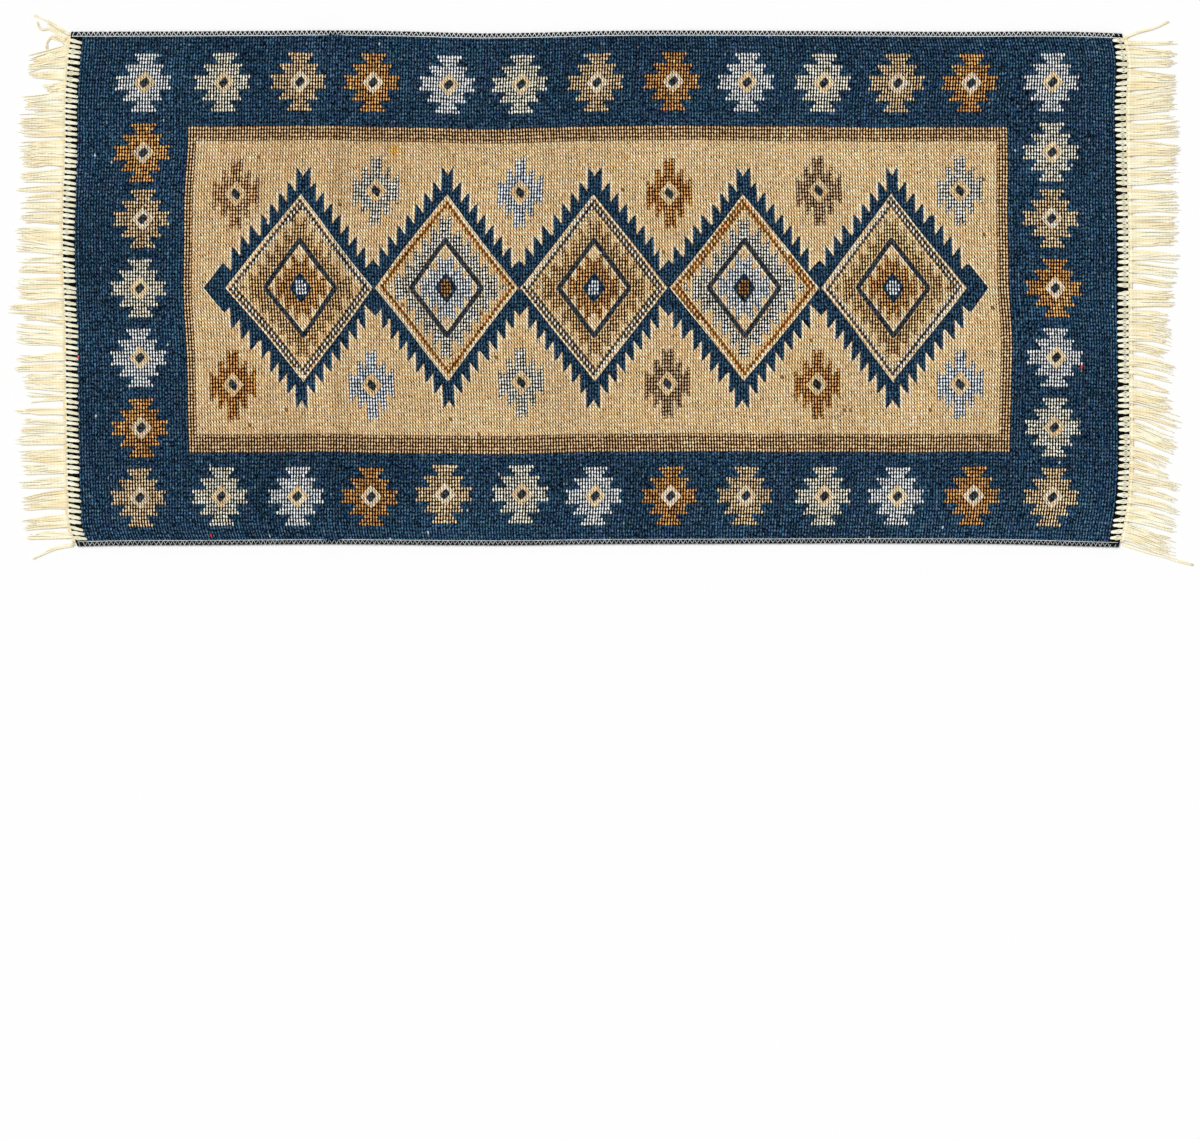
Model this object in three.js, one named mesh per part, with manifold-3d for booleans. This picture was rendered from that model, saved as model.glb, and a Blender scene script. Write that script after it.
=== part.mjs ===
// A flat-woven rug with fringed ends, lying flat. Millimetres, +Z up.
// +X runs along the rug and +Y across it. The underside lies on z = 0 and the origin is the
// middle of the cloth's underside.
import * as THREE from "three";
import { mergeVertices } from "three/addons/utils/BufferGeometryUtils.js";
import Module from "manifold-3d";

const wasm = await Module();
wasm.setup();

// Cloth
const CLOTH_THICKNESS = 3;
const SQUEEZED_LOW = 0.9; // the cloth is squeezed to this layer under its edge stitches
const SQUEEZED_HIGH = 2.1;
const GAP = 0.3; // between pieces that touch
const EDGE_STEP = 40; // between outline points along the long edges
const END_STEP = 30; // between outline points along the fringed ends

// Overlock casing along the long edges
const OVERLOCK_WIDTH = 6.2;
const OVERLOCK_WEB = 1;
const OVERLOCK_HEIGHT = 3.3;

// Stitch layers, shared by the overlock's legs and the blanket stitches
const LOWER_STITCH_HIGH = 0.6;
const UPPER_STITCH_LOW = 2.4;
const STITCH_HEIGHT = 3.4;

// Heading that carries the fringe, just past the end of the cloth
const HEADING_WIDTH = 5.6;
const HEADING_HEIGHT = 3.2;
const HEADING_ROOT = 2; // how far strands and stitches are let into the heading

// Fringe strands
const STRAND_PITCH = 5.8;
const STRAND_HEIGHT = 1.6;
const STRAND_ROOT_WIDTH = 3.8;
const STRAND_TIP_WIDTH = 1.4;
const STRAY_ROOT_WIDTH = 2.4;
const STRAND_PARTS = 3;
const STRAND_WAVE = 0.7; // sideways sway shared by the strands of one lock
const TIP_RAGGEDNESS = 8; // how much shorter the shortest strands of a lock end

// Turns short tables into rows with named columns.
function rows(columns, lines) {
  return lines.map((line) => Object.fromEntries(columns.map((name, i) => [name, line[i]])));
}

// Outline of the rug, as uneven as it lies: offsets of each edge at places along it.
const FAR_EDGE = rows(["along", "at"], [
  [-640, 303.4], [-500, 303.8], [-410, 304.3], [-300, 304.9], [-210, 303.3], [-150, 301.6],
  [-70, 302.4], [0, 304.2], [150, 304.7], [240, 304.3], [415, 303.3], [580, 302.8], [640, 300.2],
]);
const NEAR_EDGE = rows(["along", "at"], [
  [-640, -304.6], [-590, -303.2], [-460, -302.3], [-320, -301.3], [-180, -302.4], [-120, -302.7],
  [0, -301.3], [120, -300.9], [340, -300.3], [480, -301.2], [580, -304], [640, -305.6],
]);
const LEFT_END = rows(["along", "at"], [
  [-320, -611], [-302, -617.6], [-285, -624], [-249, -627.1], [-178, -628.9], [-107, -630.1],
  [-37, -630.6], [0, -632.3], [50, -633.9], [95, -633.4], [164, -630.9], [229, -630.4],
  [270, -627.6], [296, -625], [320, -622.5],
]);
const RIGHT_END = rows(["along", "at"], [
  [-320, 608], [-302, 613], [-279, 618], [-261, 621.2], [-226, 624], [-107, 624.3], [-13, 623.8],
  [58, 623.7], [129, 622.2], [211, 620.8], [282, 620.6], [300, 616.5], [320, 612],
]);

// Locks of the fringe, from the far corner to the near one. Each gathers the strands between
// rootFar and rootNear and lets them out between tipFar and tipNear, as far as reach from the
// middle of the rug.
const LOCK_COLUMNS = ["rootFar", "rootNear", "tipFar", "tipNear", "reach"];
const LEFT_LOCKS = rows(LOCK_COLUMNS, [
  [289, 275, 273, 267, 672],
  [273, 261, 265, 259, 677],
  [259, 247, 256, 249, 673],
  [246, 234, 240, 232, 658],
  [233, 223, 226, 221, 680],
  [220, 210, 219, 210, 680],
  [208, 180, 207, 180, 686],
  [176, 145, 175, 144, 685],
  [142, 126, 138, 125, 683],
  [124, 116, 119, 114, 689],
  [113, 106, 111, 105, 678],
  [103, 92, 102, 92, 683],
  [90, 78, 86, 78, 685],
  [72, 41, 73, 43, 689],
  [39, 31, 38, 32, 685],
  [29, 19, 28, 20, 687],
  [13, -12, 14, -12, 689],
  [-14, -33, -20, -28, 697],
  [-36, -41, -33, -35, 681],
  [-44, -67, -41, -64, 691],
  [-74, -85, -79, -85, 690],
  [-87, -97, -91, -97, 692],
  [-99, -121, -100, -118, 681],
  [-124, -131, -121, -137, 676],
  [-141, -149, -142, -148, 689],
  [-154, -160, -154, -158, 681],
  [-162, -170, -162, -170, 685],
  [-172, -183, -175, -184, 689],
  [-188, -217, -191, -220, 684],
  [-221, -234, -228, -236, 685],
  [-236, -260, -246, -261, 681],
  [-266, -281, -272, -285, 680],
  [-286, -294, -289, -296, 678],
]);
const RIGHT_LOCKS = rows(LOCK_COLUMNS, [
  [293, 288, 293, 289, 680],
  [286, 261, 282, 262, 679],
  [259, 234, 253, 238, 680],
  [231, 206, 235, 209, 679],
  [204, 199, 206, 202, 677],
  [196, 177, 197, 178, 684],
  [175, 157, 171, 158, 685],
  [155, 143, 155, 146, 681],
  [141, 123, 139, 125, 683],
  [118, 106, 118, 107, 681],
  [103, 90, 102, 91, 684],
  [86, 72, 86, 71, 683],
  [70, 50, 68, 51, 681],
  [46, 34, 44, 33, 684],
  [32, 20, 25, 13, 681],
  [18, 8, 9, 1, 679],
  [0, -21, -2, -22, 678],
  [-24, -38, -27, -43, 672],
  [-40, -61, -47, -66, 674],
  [-63, -73, -71, -81, 670],
  [-77, -91, -86, -100, 678],
  [-93, -100, -106, -113, 674],
  [-106, -115, -117, -124, 673],
  [-117, -135, -129, -145, 674],
  [-138, -152, -150, -170, 683],
  [-156, -177, -177, -196, 679],
  [-185, -197, -201, -212, 673],
  [-201, -210, -217, -226, 674],
  [-216, -226, -231, -241, 684],
  [-229, -238, -245, -253, 680],
  [-242, -253, -257, -268, 683],
  [-256, -274, -272, -289, 679],
  [-276, -296, -294, -316, 677],
]);

// Strands that stray past the corners, as routes of [x, y] from the heading to the tip.
const LEFT_STRAYS = [
  [[-626, 300], [-641, 309], [-652, 316], [-669, 323.5]],
  [[-628, 296], [-640, 302.5], [-650, 307.5], [-660, 307], [-665, 315]],
  [[-631, 291.5], [-646, 298], [-653, 291], [-653, 283.5]],
  [[-622, -302.5], [-643, -306], [-659, -313], [-669, -318.5]],
];
const RIGHT_STRAYS = [
  [[618, 296.5], [638, 304], [655, 309], [671, 315.5]],
  [[618, -301], [650, -312], [673, -318.5], [700, -326]],
];

// Blanket stitches over each end: how many, how deep they reach and how they lean.
const LEFT_STITCHES = { count: 92, depth: 14, lean: -1.8 };
const RIGHT_STITCHES = { count: 84, depth: 12.5, lean: -0.4 };
const STITCH_ROOT_WIDTH = 4;
const STITCH_TIP_WIDTH = 2.6;

// A smooth curve through a table's rows, read at one place along it.
function readCurve(table, along) {
  const last = table.length - 1;
  const found = table.findIndex((row, i) => i < last && along <= table[i + 1].along);
  const i = found < 0 ? last - 1 : found;
  const [a, b] = [table[i], table[i + 1]];
  const slope = (j) => {
    const before = table[Math.max(j - 1, 0)];
    const after = table[Math.min(j + 1, last)];
    return (after.at - before.at) / (after.along - before.along);
  };
  const span = b.along - a.along;
  const t = (along - a.along) / span;
  const [t2, t3] = [t * t, t * t * t];
  return (
    (2 * t3 - 3 * t2 + 1) * a.at + (t3 - 2 * t2 + t) * span * slope(i) +
    (3 * t2 - 2 * t3) * b.at + (t3 - t2) * span * slope(i + 1)
  );
}

// Even steps from start to end, both included, about one step apart.
function steps(start, end, step) {
  const count = Math.max(1, Math.round(Math.abs(end - start) / step));
  return Array.from({ length: count + 1 }, (_, i) => start + ((end - start) * i) / count);
}

// A repeatable value between 0 and 1 for the nth strand or stitch.
function uneven(n) {
  const value = Math.sin(n * 12.9898 + 4.1) * 43758.5453;
  return value - Math.floor(value);
}

// The flat outline shape through a list of [x, y] points.
function outlineShape(points) {
  return new THREE.Shape(points.map(([x, y]) => new THREE.Vector2(x, y)));
}

// A layer of an outline from one height to another, as a solid for joining and cutting.
function layer(points, low, high) {
  const geometry = new THREE.ExtrudeGeometry(outlineShape(points), {
    depth: high - low,
    bevelEnabled: false,
  });
  geometry.translate(0, 0, low);
  return solidOf(geometry);
}

function solidOf(geometry) {
  const bare = geometry.clone();
  bare.deleteAttribute("normal");
  bare.deleteAttribute("uv");
  const merged = mergeVertices(bare, 1e-4);
  return new wasm.Manifold(
    new wasm.Mesh({
      numProp: 3,
      vertProperties: new Float32Array(merged.attributes.position.array),
      triVerts: new Uint32Array(merged.index.array),
    }),
  );
}

function geometryOf(solid) {
  const mesh = solid.getMesh();
  const geometry = new THREE.BufferGeometry();
  geometry.setAttribute("position", new THREE.BufferAttribute(mesh.vertProperties, 3));
  geometry.setIndex(new THREE.BufferAttribute(mesh.triVerts, 1));
  geometry.computeVertexNormals();
  return geometry;
}

function joined(solids) {
  return solids.reduce((whole, solid) => whole.add(solid));
}

// One end of the rug: outward is -1 on the left and +1 on the right, and the corners are where
// its line meets the long edges.
function makeEnd(table, outward) {
  const line = (y) => readCurve(table, y);
  const cornerOn = (edge) => {
    let y = readCurve(edge, outward * 620);
    for (let pass = 0; pass < 3; pass += 1) {
      y = readCurve(edge, line(y));
    }
    return y;
  };
  return { outward, line, far: cornerOn(FAR_EDGE), near: cornerOn(NEAR_EDGE) };
}

const leftEnd = makeEnd(LEFT_END, -1);
const rightEnd = makeEnd(RIGHT_END, 1);

// The cloth's outline drawn in from the rug's outer edge: by sides along the long edges, and by
// ends along the fringed ends.
function clothOutline(sides, leftInset, rightInset) {
  const along = (edge, inset, from, to) =>
    steps(from, to, EDGE_STEP).map((x) => [x, readCurve(edge, x) + inset]);
  const endLine = (end, inset, from, to) =>
    steps(from, to, END_STEP).map((y) => [end.line(y) - end.outward * inset, y]);
  const corner = (end, inset, y) => end.line(y) - end.outward * inset;
  const [lf, ln] = [leftEnd.far - sides, leftEnd.near + sides];
  const [rf, rn] = [rightEnd.far - sides, rightEnd.near + sides];
  const near = along(NEAR_EDGE, sides, corner(leftEnd, leftInset, ln), corner(rightEnd, rightInset, rn));
  const right = endLine(rightEnd, rightInset, rn, rf);
  const far = along(FAR_EDGE, -sides, corner(rightEnd, rightInset, rf), corner(leftEnd, leftInset, lf));
  const left = endLine(leftEnd, leftInset, lf, ln);
  return [...near, ...right.slice(1, -1), ...far, ...left.slice(1, -1)];
}

// The cloth: full thickness inside, squeezed flat under the stitches round its edge.
function makeCloth() {
  const full = clothOutline(
    OVERLOCK_WIDTH + GAP,
    LEFT_STITCHES.depth + GAP,
    RIGHT_STITCHES.depth + GAP,
  );
  const squeezed = clothOutline(OVERLOCK_WEB + GAP, GAP, GAP);
  return layer(full, 0, CLOTH_THICKNESS).add(layer(squeezed, SQUEEZED_LOW, SQUEEZED_HIGH));
}

// The overlock casing round one long edge: a channel that the squeezed cloth sits in.
function makeOverlock(edge, inward) {
  const strip = (outer, inner, spare) => {
    const side = (inset) => (x) => [x, readCurve(edge, x) + inward * inset];
    const from = leftEnd.line(inward < 0 ? leftEnd.far : leftEnd.near) + GAP - spare;
    const to = rightEnd.line(inward < 0 ? rightEnd.far : rightEnd.near) - GAP + spare;
    const xs = steps(from, to, EDGE_STEP);
    const outline = [...xs.map(side(outer)), ...xs.reverse().map(side(inner))];
    return inward < 0 ? outline.reverse() : outline;
  };
  const casing = layer(strip(0, OVERLOCK_WIDTH, 0), 0, OVERLOCK_HEIGHT);
  const slot = strip(OVERLOCK_WEB, OVERLOCK_WIDTH + 1, 1);
  return casing.subtract(layer(slot, LOWER_STITCH_HIGH, UPPER_STITCH_LOW));
}

// A ribbon of changing width along a route, as a flat outline.
function ribbon(route, rootWidth, tipWidth) {
  const last = route.length - 1;
  const side = (sign) =>
    route.map(([x, y], i) => {
      const before = route[Math.max(i - 1, 0)];
      const after = route[Math.min(i + 1, last)];
      const run = Math.hypot(after[0] - before[0], after[1] - before[1]);
      const half = (sign * (rootWidth + ((tipWidth - rootWidth) * i) / last)) / 2;
      return [x - ((after[1] - before[1]) * half) / run, y + ((after[0] - before[0]) * half) / run];
    });
  return [...side(-1), ...side(1).reverse()];
}

// Where the strands of one lock run, from inside the heading to their ragged tips.
function lockRoutes(lock, end, number) {
  const count = Math.max(1, Math.round((lock.rootFar - lock.rootNear) / STRAND_PITCH));
  return Array.from({ length: count }, (_, i) => {
    const share = (i + 0.5) / count;
    const rootY = lock.rootFar + (lock.rootNear - lock.rootFar) * share;
    const tipY = lock.tipFar + (lock.tipNear - lock.tipFar) * share;
    const rootX = end.line(rootY) + end.outward * (HEADING_WIDTH - HEADING_ROOT);
    const tipX = end.outward * (lock.reach - TIP_RAGGEDNESS * uneven(number * 17 + i) ** 2);
    return Array.from({ length: STRAND_PARTS + 1 }, (_, part) => {
      const t = part / STRAND_PARTS;
      const sway = STRAND_WAVE * Math.sin(2 * Math.PI * t + number) * Math.sin(Math.PI * t);
      return [rootX + (tipX - rootX) * t, rootY + (tipY - rootY) * t ** 1.3 + sway];
    });
  });
}

// The blanket stitches that tie the heading to the cloth, above it or below it.
function stitchBars(end, stitches, low, high) {
  const first = end.far - OVERLOCK_WIDTH - STITCH_ROOT_WIDTH;
  const last = end.near + OVERLOCK_WIDTH + STITCH_ROOT_WIDTH;
  return Array.from({ length: stitches.count }, (_, i) => {
    const y = first + ((last - first) * i) / (stitches.count - 1);
    const root = [end.line(y) + end.outward * HEADING_ROOT, y];
    const tip = [end.line(y) - end.outward * stitches.depth, y - end.outward * stitches.lean];
    return layer(ribbon([root, tip], STITCH_ROOT_WIDTH, STITCH_TIP_WIDTH), low, high);
  });
}

// The heading strip, with its strands and the stitches that tie it to the cloth.
function makeFringe(end, locks, strays, stitches) {
  const ys = steps(end.near, end.far, END_STEP);
  const inner = ys.map((y) => [end.line(y), y]);
  const outer = ys.map((y) => [end.line(y) + end.outward * HEADING_WIDTH, y]);
  const outline = [...inner, ...outer.reverse()];
  const heading = layer(end.outward > 0 ? outline.reverse() : outline, 0, HEADING_HEIGHT);
  const strand = (rootWidth) => (route) =>
    layer(ribbon(route, rootWidth, STRAND_TIP_WIDTH), 0, STRAND_HEIGHT);
  const strands = [
    ...locks.flatMap((lock, i) => lockRoutes(lock, end, i)).map(strand(STRAND_ROOT_WIDTH)),
    ...strays.map(strand(STRAY_ROOT_WIDTH)),
  ];
  const bars = [
    ...stitchBars(end, stitches, 0, LOWER_STITCH_HIGH),
    ...stitchBars(end, stitches, UPPER_STITCH_LOW, STITCH_HEIGHT),
  ];
  return joined([heading, ...strands, ...bars]);
}

const finishes = {
  cloth: { color: "#22415f", roughness: 0.95, metalness: 0 },
  overlock: { color: "#7f8a90", roughness: 0.9, metalness: 0 },
  fringe: { color: "#efe3b8", roughness: 0.9, metalness: 0 },
};

const rug = new THREE.Group();

function addPiece(name, solid, finish) {
  const mesh = new THREE.Mesh(geometryOf(solid), new THREE.MeshStandardMaterial(finish));
  mesh.name = name;
  rug.add(mesh);
}

addPiece("rug_cloth", makeCloth(), finishes.cloth);
addPiece("overlock_far", makeOverlock(FAR_EDGE, -1), finishes.overlock);
addPiece("overlock_near", makeOverlock(NEAR_EDGE, 1), finishes.overlock);
addPiece("fringe_left", makeFringe(leftEnd, LEFT_LOCKS, LEFT_STRAYS, LEFT_STITCHES), finishes.fringe);
addPiece(
  "fringe_right",
  makeFringe(rightEnd, RIGHT_LOCKS, RIGHT_STRAYS, RIGHT_STITCHES),
  finishes.fringe,
);

export default rug;
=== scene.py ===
"""Looks of a flat-woven kilim rug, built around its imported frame.

X runs along the rug, Y across it and Z up. Sizes whose names end in _MM are in millimetres, and
every Blender object is in metres.
"""

import logging
import math
from dataclasses import dataclass, field
from enum import Enum
from typing import Sequence

import bmesh
import bpy
import numpy as np
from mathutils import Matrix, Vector


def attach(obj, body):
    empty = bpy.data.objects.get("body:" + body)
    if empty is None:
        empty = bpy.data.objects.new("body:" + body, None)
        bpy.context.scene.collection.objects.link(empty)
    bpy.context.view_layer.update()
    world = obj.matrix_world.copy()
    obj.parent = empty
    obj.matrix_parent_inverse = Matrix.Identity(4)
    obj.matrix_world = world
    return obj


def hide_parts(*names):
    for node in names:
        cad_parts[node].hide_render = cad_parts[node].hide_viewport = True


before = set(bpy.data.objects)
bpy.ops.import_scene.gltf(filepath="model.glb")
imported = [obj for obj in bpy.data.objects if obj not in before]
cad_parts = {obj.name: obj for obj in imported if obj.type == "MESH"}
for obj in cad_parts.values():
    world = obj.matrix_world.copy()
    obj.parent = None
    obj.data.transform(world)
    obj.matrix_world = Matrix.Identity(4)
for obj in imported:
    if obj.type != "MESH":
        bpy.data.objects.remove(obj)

Array = np.ndarray
Material = bpy.types.Material
Mesh = bpy.types.Mesh
Object = bpy.types.Object
Socket = bpy.types.NodeSocket

LOG = logging.getLogger("kilim")
BODY = "root"
MM = 0.001

# Weave of the cloth: weft picks along the rug and warp rows across it.
PICKS = 376
WARPS = 140
CLOTH_LONG_MM = 1256.0
CLOTH_WIDE_MM = 605.0
CLOTH_LEFT_MM = -632.0
CLOTH_NEAR_MM = -302.0
PICK_MM = 3.345
COLUMN_MM = CLOTH_LONG_MM / PICKS
WARP_MM = 4.34
CLOTH_TOP_MM = 3.0
FACE_INSET_MM = 0.25
SQUEEZED_LOW_MM = 0.9
SQUEEZED_HIGH_MM = 2.1
SQUEEZE_ENDS_MM = (13.0, 18.5)
SQUEEZE_SIDES_MM = (4.4, 8.8)

# Outline of the rug as it lies: places along an edge, and the offset of the edge there.
FAR_EDGE_MM = (
    (-640, 303.4), (-500, 303.8), (-410, 304.3), (-300, 304.9), (-210, 303.3), (-150, 301.6),
    (-70, 302.4), (0, 304.2), (150, 304.7), (240, 304.3), (415, 303.3), (580, 302.8), (640, 300.2),
)
NEAR_EDGE_MM = (
    (-640, -304.6), (-590, -303.2), (-460, -302.3), (-320, -301.3), (-180, -302.4), (-120, -302.7),
    (0, -301.3), (120, -300.9), (340, -300.3), (480, -301.2), (580, -304), (640, -305.6),
)
LEFT_END_MM = (
    (-320, -611), (-302, -617.6), (-285, -624), (-249, -627.1), (-178, -628.9), (-107, -630.1),
    (-37, -630.6), (0, -632.3), (50, -633.9), (95, -633.4), (164, -630.9), (229, -630.4),
    (270, -627.6), (296, -625), (320, -622.5),
)
RIGHT_END_MM = (
    (-320, 608), (-302, 613), (-279, 618), (-261, 621.2), (-226, 624), (-107, 624.3), (-13, 623.8),
    (58, 623.7), (129, 622.2), (211, 620.8), (282, 620.6), (300, 616.5), (320, 612),
)

# Locks of the fringe from the far corner: root far, root near, tip far, tip near and reach.
LEFT_LOCKS_MM = (
    (289, 275, 273, 267, 672), (273, 261, 265, 259, 677), (259, 247, 256, 249, 673),
    (246, 234, 240, 232, 658), (233, 223, 226, 221, 680), (220, 210, 219, 210, 680),
    (208, 180, 207, 180, 686), (176, 145, 175, 144, 685), (142, 126, 138, 125, 683),
    (124, 116, 119, 114, 689), (113, 106, 111, 105, 678), (103, 92, 102, 92, 683),
    (90, 78, 86, 78, 685), (72, 41, 73, 43, 689), (39, 31, 38, 32, 685), (29, 19, 28, 20, 687),
    (13, -12, 14, -12, 689), (-14, -33, -20, -28, 697), (-36, -41, -33, -35, 681),
    (-44, -67, -41, -64, 691), (-74, -85, -79, -85, 690), (-87, -97, -91, -97, 692),
    (-99, -121, -100, -118, 681), (-124, -131, -121, -137, 676), (-141, -149, -142, -148, 689),
    (-154, -160, -154, -158, 681), (-162, -170, -162, -170, 685), (-172, -183, -175, -184, 689),
    (-188, -217, -191, -220, 684), (-221, -234, -228, -236, 685), (-236, -260, -246, -261, 681),
    (-266, -281, -272, -285, 680), (-286, -294, -289, -296, 678),
)
RIGHT_LOCKS_MM = (
    (293, 288, 293, 289, 680), (286, 261, 282, 262, 679), (259, 234, 253, 238, 680),
    (231, 206, 235, 209, 679), (204, 199, 206, 202, 677), (196, 177, 197, 178, 684),
    (175, 157, 171, 158, 685), (155, 143, 155, 146, 681), (141, 123, 139, 125, 683),
    (118, 106, 118, 107, 681), (103, 90, 102, 91, 684), (86, 72, 86, 71, 683),
    (70, 50, 68, 51, 681), (46, 34, 44, 33, 684), (32, 20, 25, 13, 681), (18, 8, 9, 1, 679),
    (0, -21, -2, -22, 678), (-24, -38, -27, -43, 672), (-40, -61, -47, -66, 674),
    (-63, -73, -71, -81, 670), (-77, -91, -86, -100, 678), (-93, -100, -106, -113, 674),
    (-106, -115, -117, -124, 673), (-117, -135, -129, -145, 674), (-138, -152, -150, -170, 683),
    (-156, -177, -177, -196, 679), (-185, -197, -201, -212, 673), (-201, -210, -217, -226, 674),
    (-216, -226, -231, -241, 684), (-229, -238, -245, -253, 680), (-242, -253, -257, -268, 683),
    (-256, -274, -272, -289, 679), (-276, -296, -294, -316, 677),
)
LEFT_STRAYS_MM = (
    ((-627, 283), (-633, 294), (-641, 305), (-652, 314)),
    ((-626, 300), (-641, 309), (-652, 316), (-669, 323.5)),
    ((-628, 296), (-640, 302.5), (-650, 307.5), (-660, 307), (-665, 315)),
    ((-631, 291.5), (-646, 298), (-653, 291), (-653, 283.5)),
    ((-622, -302.5), (-643, -306), (-659, -313), (-669, -318.5)),
)
RIGHT_STRAYS_MM = (
    ((618, 296.5), (638, 304), (655, 309), (671, 315.5)),
    ((618, -301), (650, -312), (673, -318.5), (700, -326)),
)


class Ink(Enum):
    """Yarns that the chart calls for, by what they draw."""

    GROUND = 0
    FIELD = 1
    STAR_BLUE = 2
    STAR_CREAM = 3
    STAR_TAN = 4
    STAR_RUST = 5
    FRAME = 6
    FLAME_BROWN = 7
    FLAME_RUST = 8
    FLAME_NAVY = 9
    FLAME_BLUE = 10
    FLAME_TAN = 11
    CHECK_WHITE = 12
    CHECK_TAN = 13
    STRIPE_BROWN = 14
    STRIPE_NAVY = 15
    HEART_BLUE = 16
    HEART_RUST = 17
    RING_SAND = 18
    RING_CREAM = 19
    PALE = 20
    SHADED_HEM = 21
    CORE_RUST = 22
    CORE_BLUE = 23
    RED = 24
    OUTLINE = 25
    CHECK_BLACK = 26
    CHECK_BROWN = 27


@dataclass(frozen=True)
class Yarn:
    """Look of one weave cell and its unevenness.

    Attributes:
        top: sRGB colour of the float, 0 to 255.
        gap: sRGB colour between one row and the next.
        slot: sRGB colour in the deep slot between two picks: the yarn there with painted shade.
        wide: width of the float against a plain one.
        tall: height of the float against a plain one.
        run: how far the slot runs on between rows, 0 for short dashes and 1 for one long line.
        spread: how much lightness changes from cell to cell.
    """

    top: tuple[int, int, int]
    gap: tuple[int, int, int]
    slot: tuple[int, int, int]
    wide: float = 1.0
    tall: float = 1.0
    run: float = 1.0
    spread: float = 0.07

    def parts(self) -> dict[str, tuple[tuple[int, int, int], float]]:
        """Gives the colour and the size factor of the float, the gap and the slot."""
        return {
            "float": (self.top, self.wide),
            "gap": (self.gap, self.tall),
            "slot": (self.slot, self.run),
        }


FRONT_YARNS = {
    Ink.GROUND: Yarn((52, 76, 92), (20, 42, 63), (2, 16, 36), 1.1, 1.15, 0.8, 0.12),
    Ink.FIELD: Yarn((255, 237, 192), (206, 156, 98), (60, 28, 0), 0.9, 0.94, 0.45, 0.05),
    Ink.STAR_BLUE: Yarn((250, 255, 255), (96, 106, 112), (4, 14, 24), 0.94, 1.2, 1.0, 0.06),
    Ink.STAR_CREAM: Yarn((255, 250, 230), (98, 86, 62), (4, 6, 6), 0.94, 1.2, 1.0, 0.06),
    Ink.STAR_TAN: Yarn((244, 214, 172), (84, 56, 28), (12, 6, 0), 0.9, 1.2),
    Ink.STAR_RUST: Yarn((232, 176, 110), (70, 28, 0), (24, 2, 0), 0.9, 1.15, 1.0, 0.12),
    Ink.FRAME: Yarn((238, 206, 160), (118, 74, 28), (32, 12, 0), 0.88, 1.08),
    Ink.FLAME_BROWN: Yarn((242, 204, 156), (112, 68, 24), (34, 12, 0), 0.88, 1.1),
    Ink.FLAME_RUST: Yarn((238, 182, 112), (92, 38, 0), (30, 4, 0), 0.84, 1.1),
    Ink.FLAME_NAVY: Yarn((255, 254, 240), (106, 94, 72), (0, 0, 0), 0.95, 1.12),
    Ink.FLAME_BLUE: Yarn((250, 254, 255), (96, 112, 126), (2, 10, 20), 0.95, 1.12),
    Ink.FLAME_TAN: Yarn((222, 190, 150), (72, 46, 20), (22, 8, 0), 0.84, 1.1),
    Ink.CHECK_WHITE: Yarn((255, 254, 244), (176, 150, 110), (24, 20, 14), 0.98, 1.05),
    Ink.CHECK_TAN: Yarn((252, 222, 170), (194, 138, 72), (90, 44, 0), 0.92, 1.0),
    Ink.STRIPE_BROWN: Yarn((244, 206, 152), (104, 64, 22), (10, 0, 0), 0.82, 1.15),
    Ink.STRIPE_NAVY: Yarn((255, 252, 236), (56, 48, 34), (0, 0, 0), 0.9, 1.15),
    Ink.CORE_RUST: Yarn((230, 180, 116), (80, 34, 0), (22, 2, 0), 0.82, 1.12),
    Ink.CORE_BLUE: Yarn((252, 255, 255), (76, 98, 114), (0, 8, 16), 0.93, 1.15),
    Ink.HEART_BLUE: Yarn((250, 255, 255), (92, 114, 132), (4, 14, 26), 0.9, 1.05),
    Ink.HEART_RUST: Yarn((192, 146, 96), (58, 24, 4), (28, 6, 0), 0.85, 1.0),
    Ink.RING_SAND: Yarn((252, 236, 202), (212, 174, 122), (90, 60, 26), 1.0, 1.05, 0.5),
    Ink.RING_CREAM: Yarn((255, 250, 224), (214, 178, 128), (84, 54, 22), 0.98, 1.05, 0.6),
    Ink.PALE: Yarn((255, 248, 218), (214, 170, 114), (96, 58, 24), 1.02, 1.05, 0.28, 0.05),
    # Bound edges: dark cloth, nearly black with painted shade between the stitches.
    Ink.SHADED_HEM: Yarn((18, 18, 14), (10, 10, 8), (4, 4, 4), 1.0, 1.0),
    Ink.RED: Yarn((206, 70, 70), (120, 40, 44), (40, 14, 16), 1.2, 1.2),
    Ink.OUTLINE: Yarn((74, 82, 90), (48, 54, 58), (20, 22, 24), 1.15, 1.2, 0.8, 0.10),
    Ink.CHECK_BLACK: Yarn((64, 60, 54), (150, 126, 94), (2, 2, 2), 0.88, 0.92),
    Ink.CHECK_BROWN: Yarn((122, 78, 34), (164, 112, 54), (60, 28, 2), 0.92, 0.96),
}
BACK_SAND = Yarn((255, 241, 202), (192, 146, 92), (56, 34, 12), 1.05, 1.0, 0.3, 0.05)
BACK_NAVY = Yarn((42, 68, 90), (25, 46, 68), (6, 20, 36), 1.15, 1.2, 0.8, 0.10)
BACK_BROWN = Yarn((170, 124, 76), (54, 46, 42), (8, 16, 26), 0.95, 1.1)
BACK_RUST = Yarn((192, 112, 54), (58, 42, 36), (10, 16, 26), 0.95, 1.1)
BACK_CREAM = Yarn((244, 244, 238), (78, 86, 94), (12, 24, 38), 0.95, 1.1)
BACK_BLUE = Yarn((168, 200, 226), (52, 72, 92), (10, 24, 40), 0.95, 1.1)
BACK_RING = Yarn((42, 64, 82), (29, 48, 64), (12, 24, 38), 1.1, 1.1, 0.6)
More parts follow.
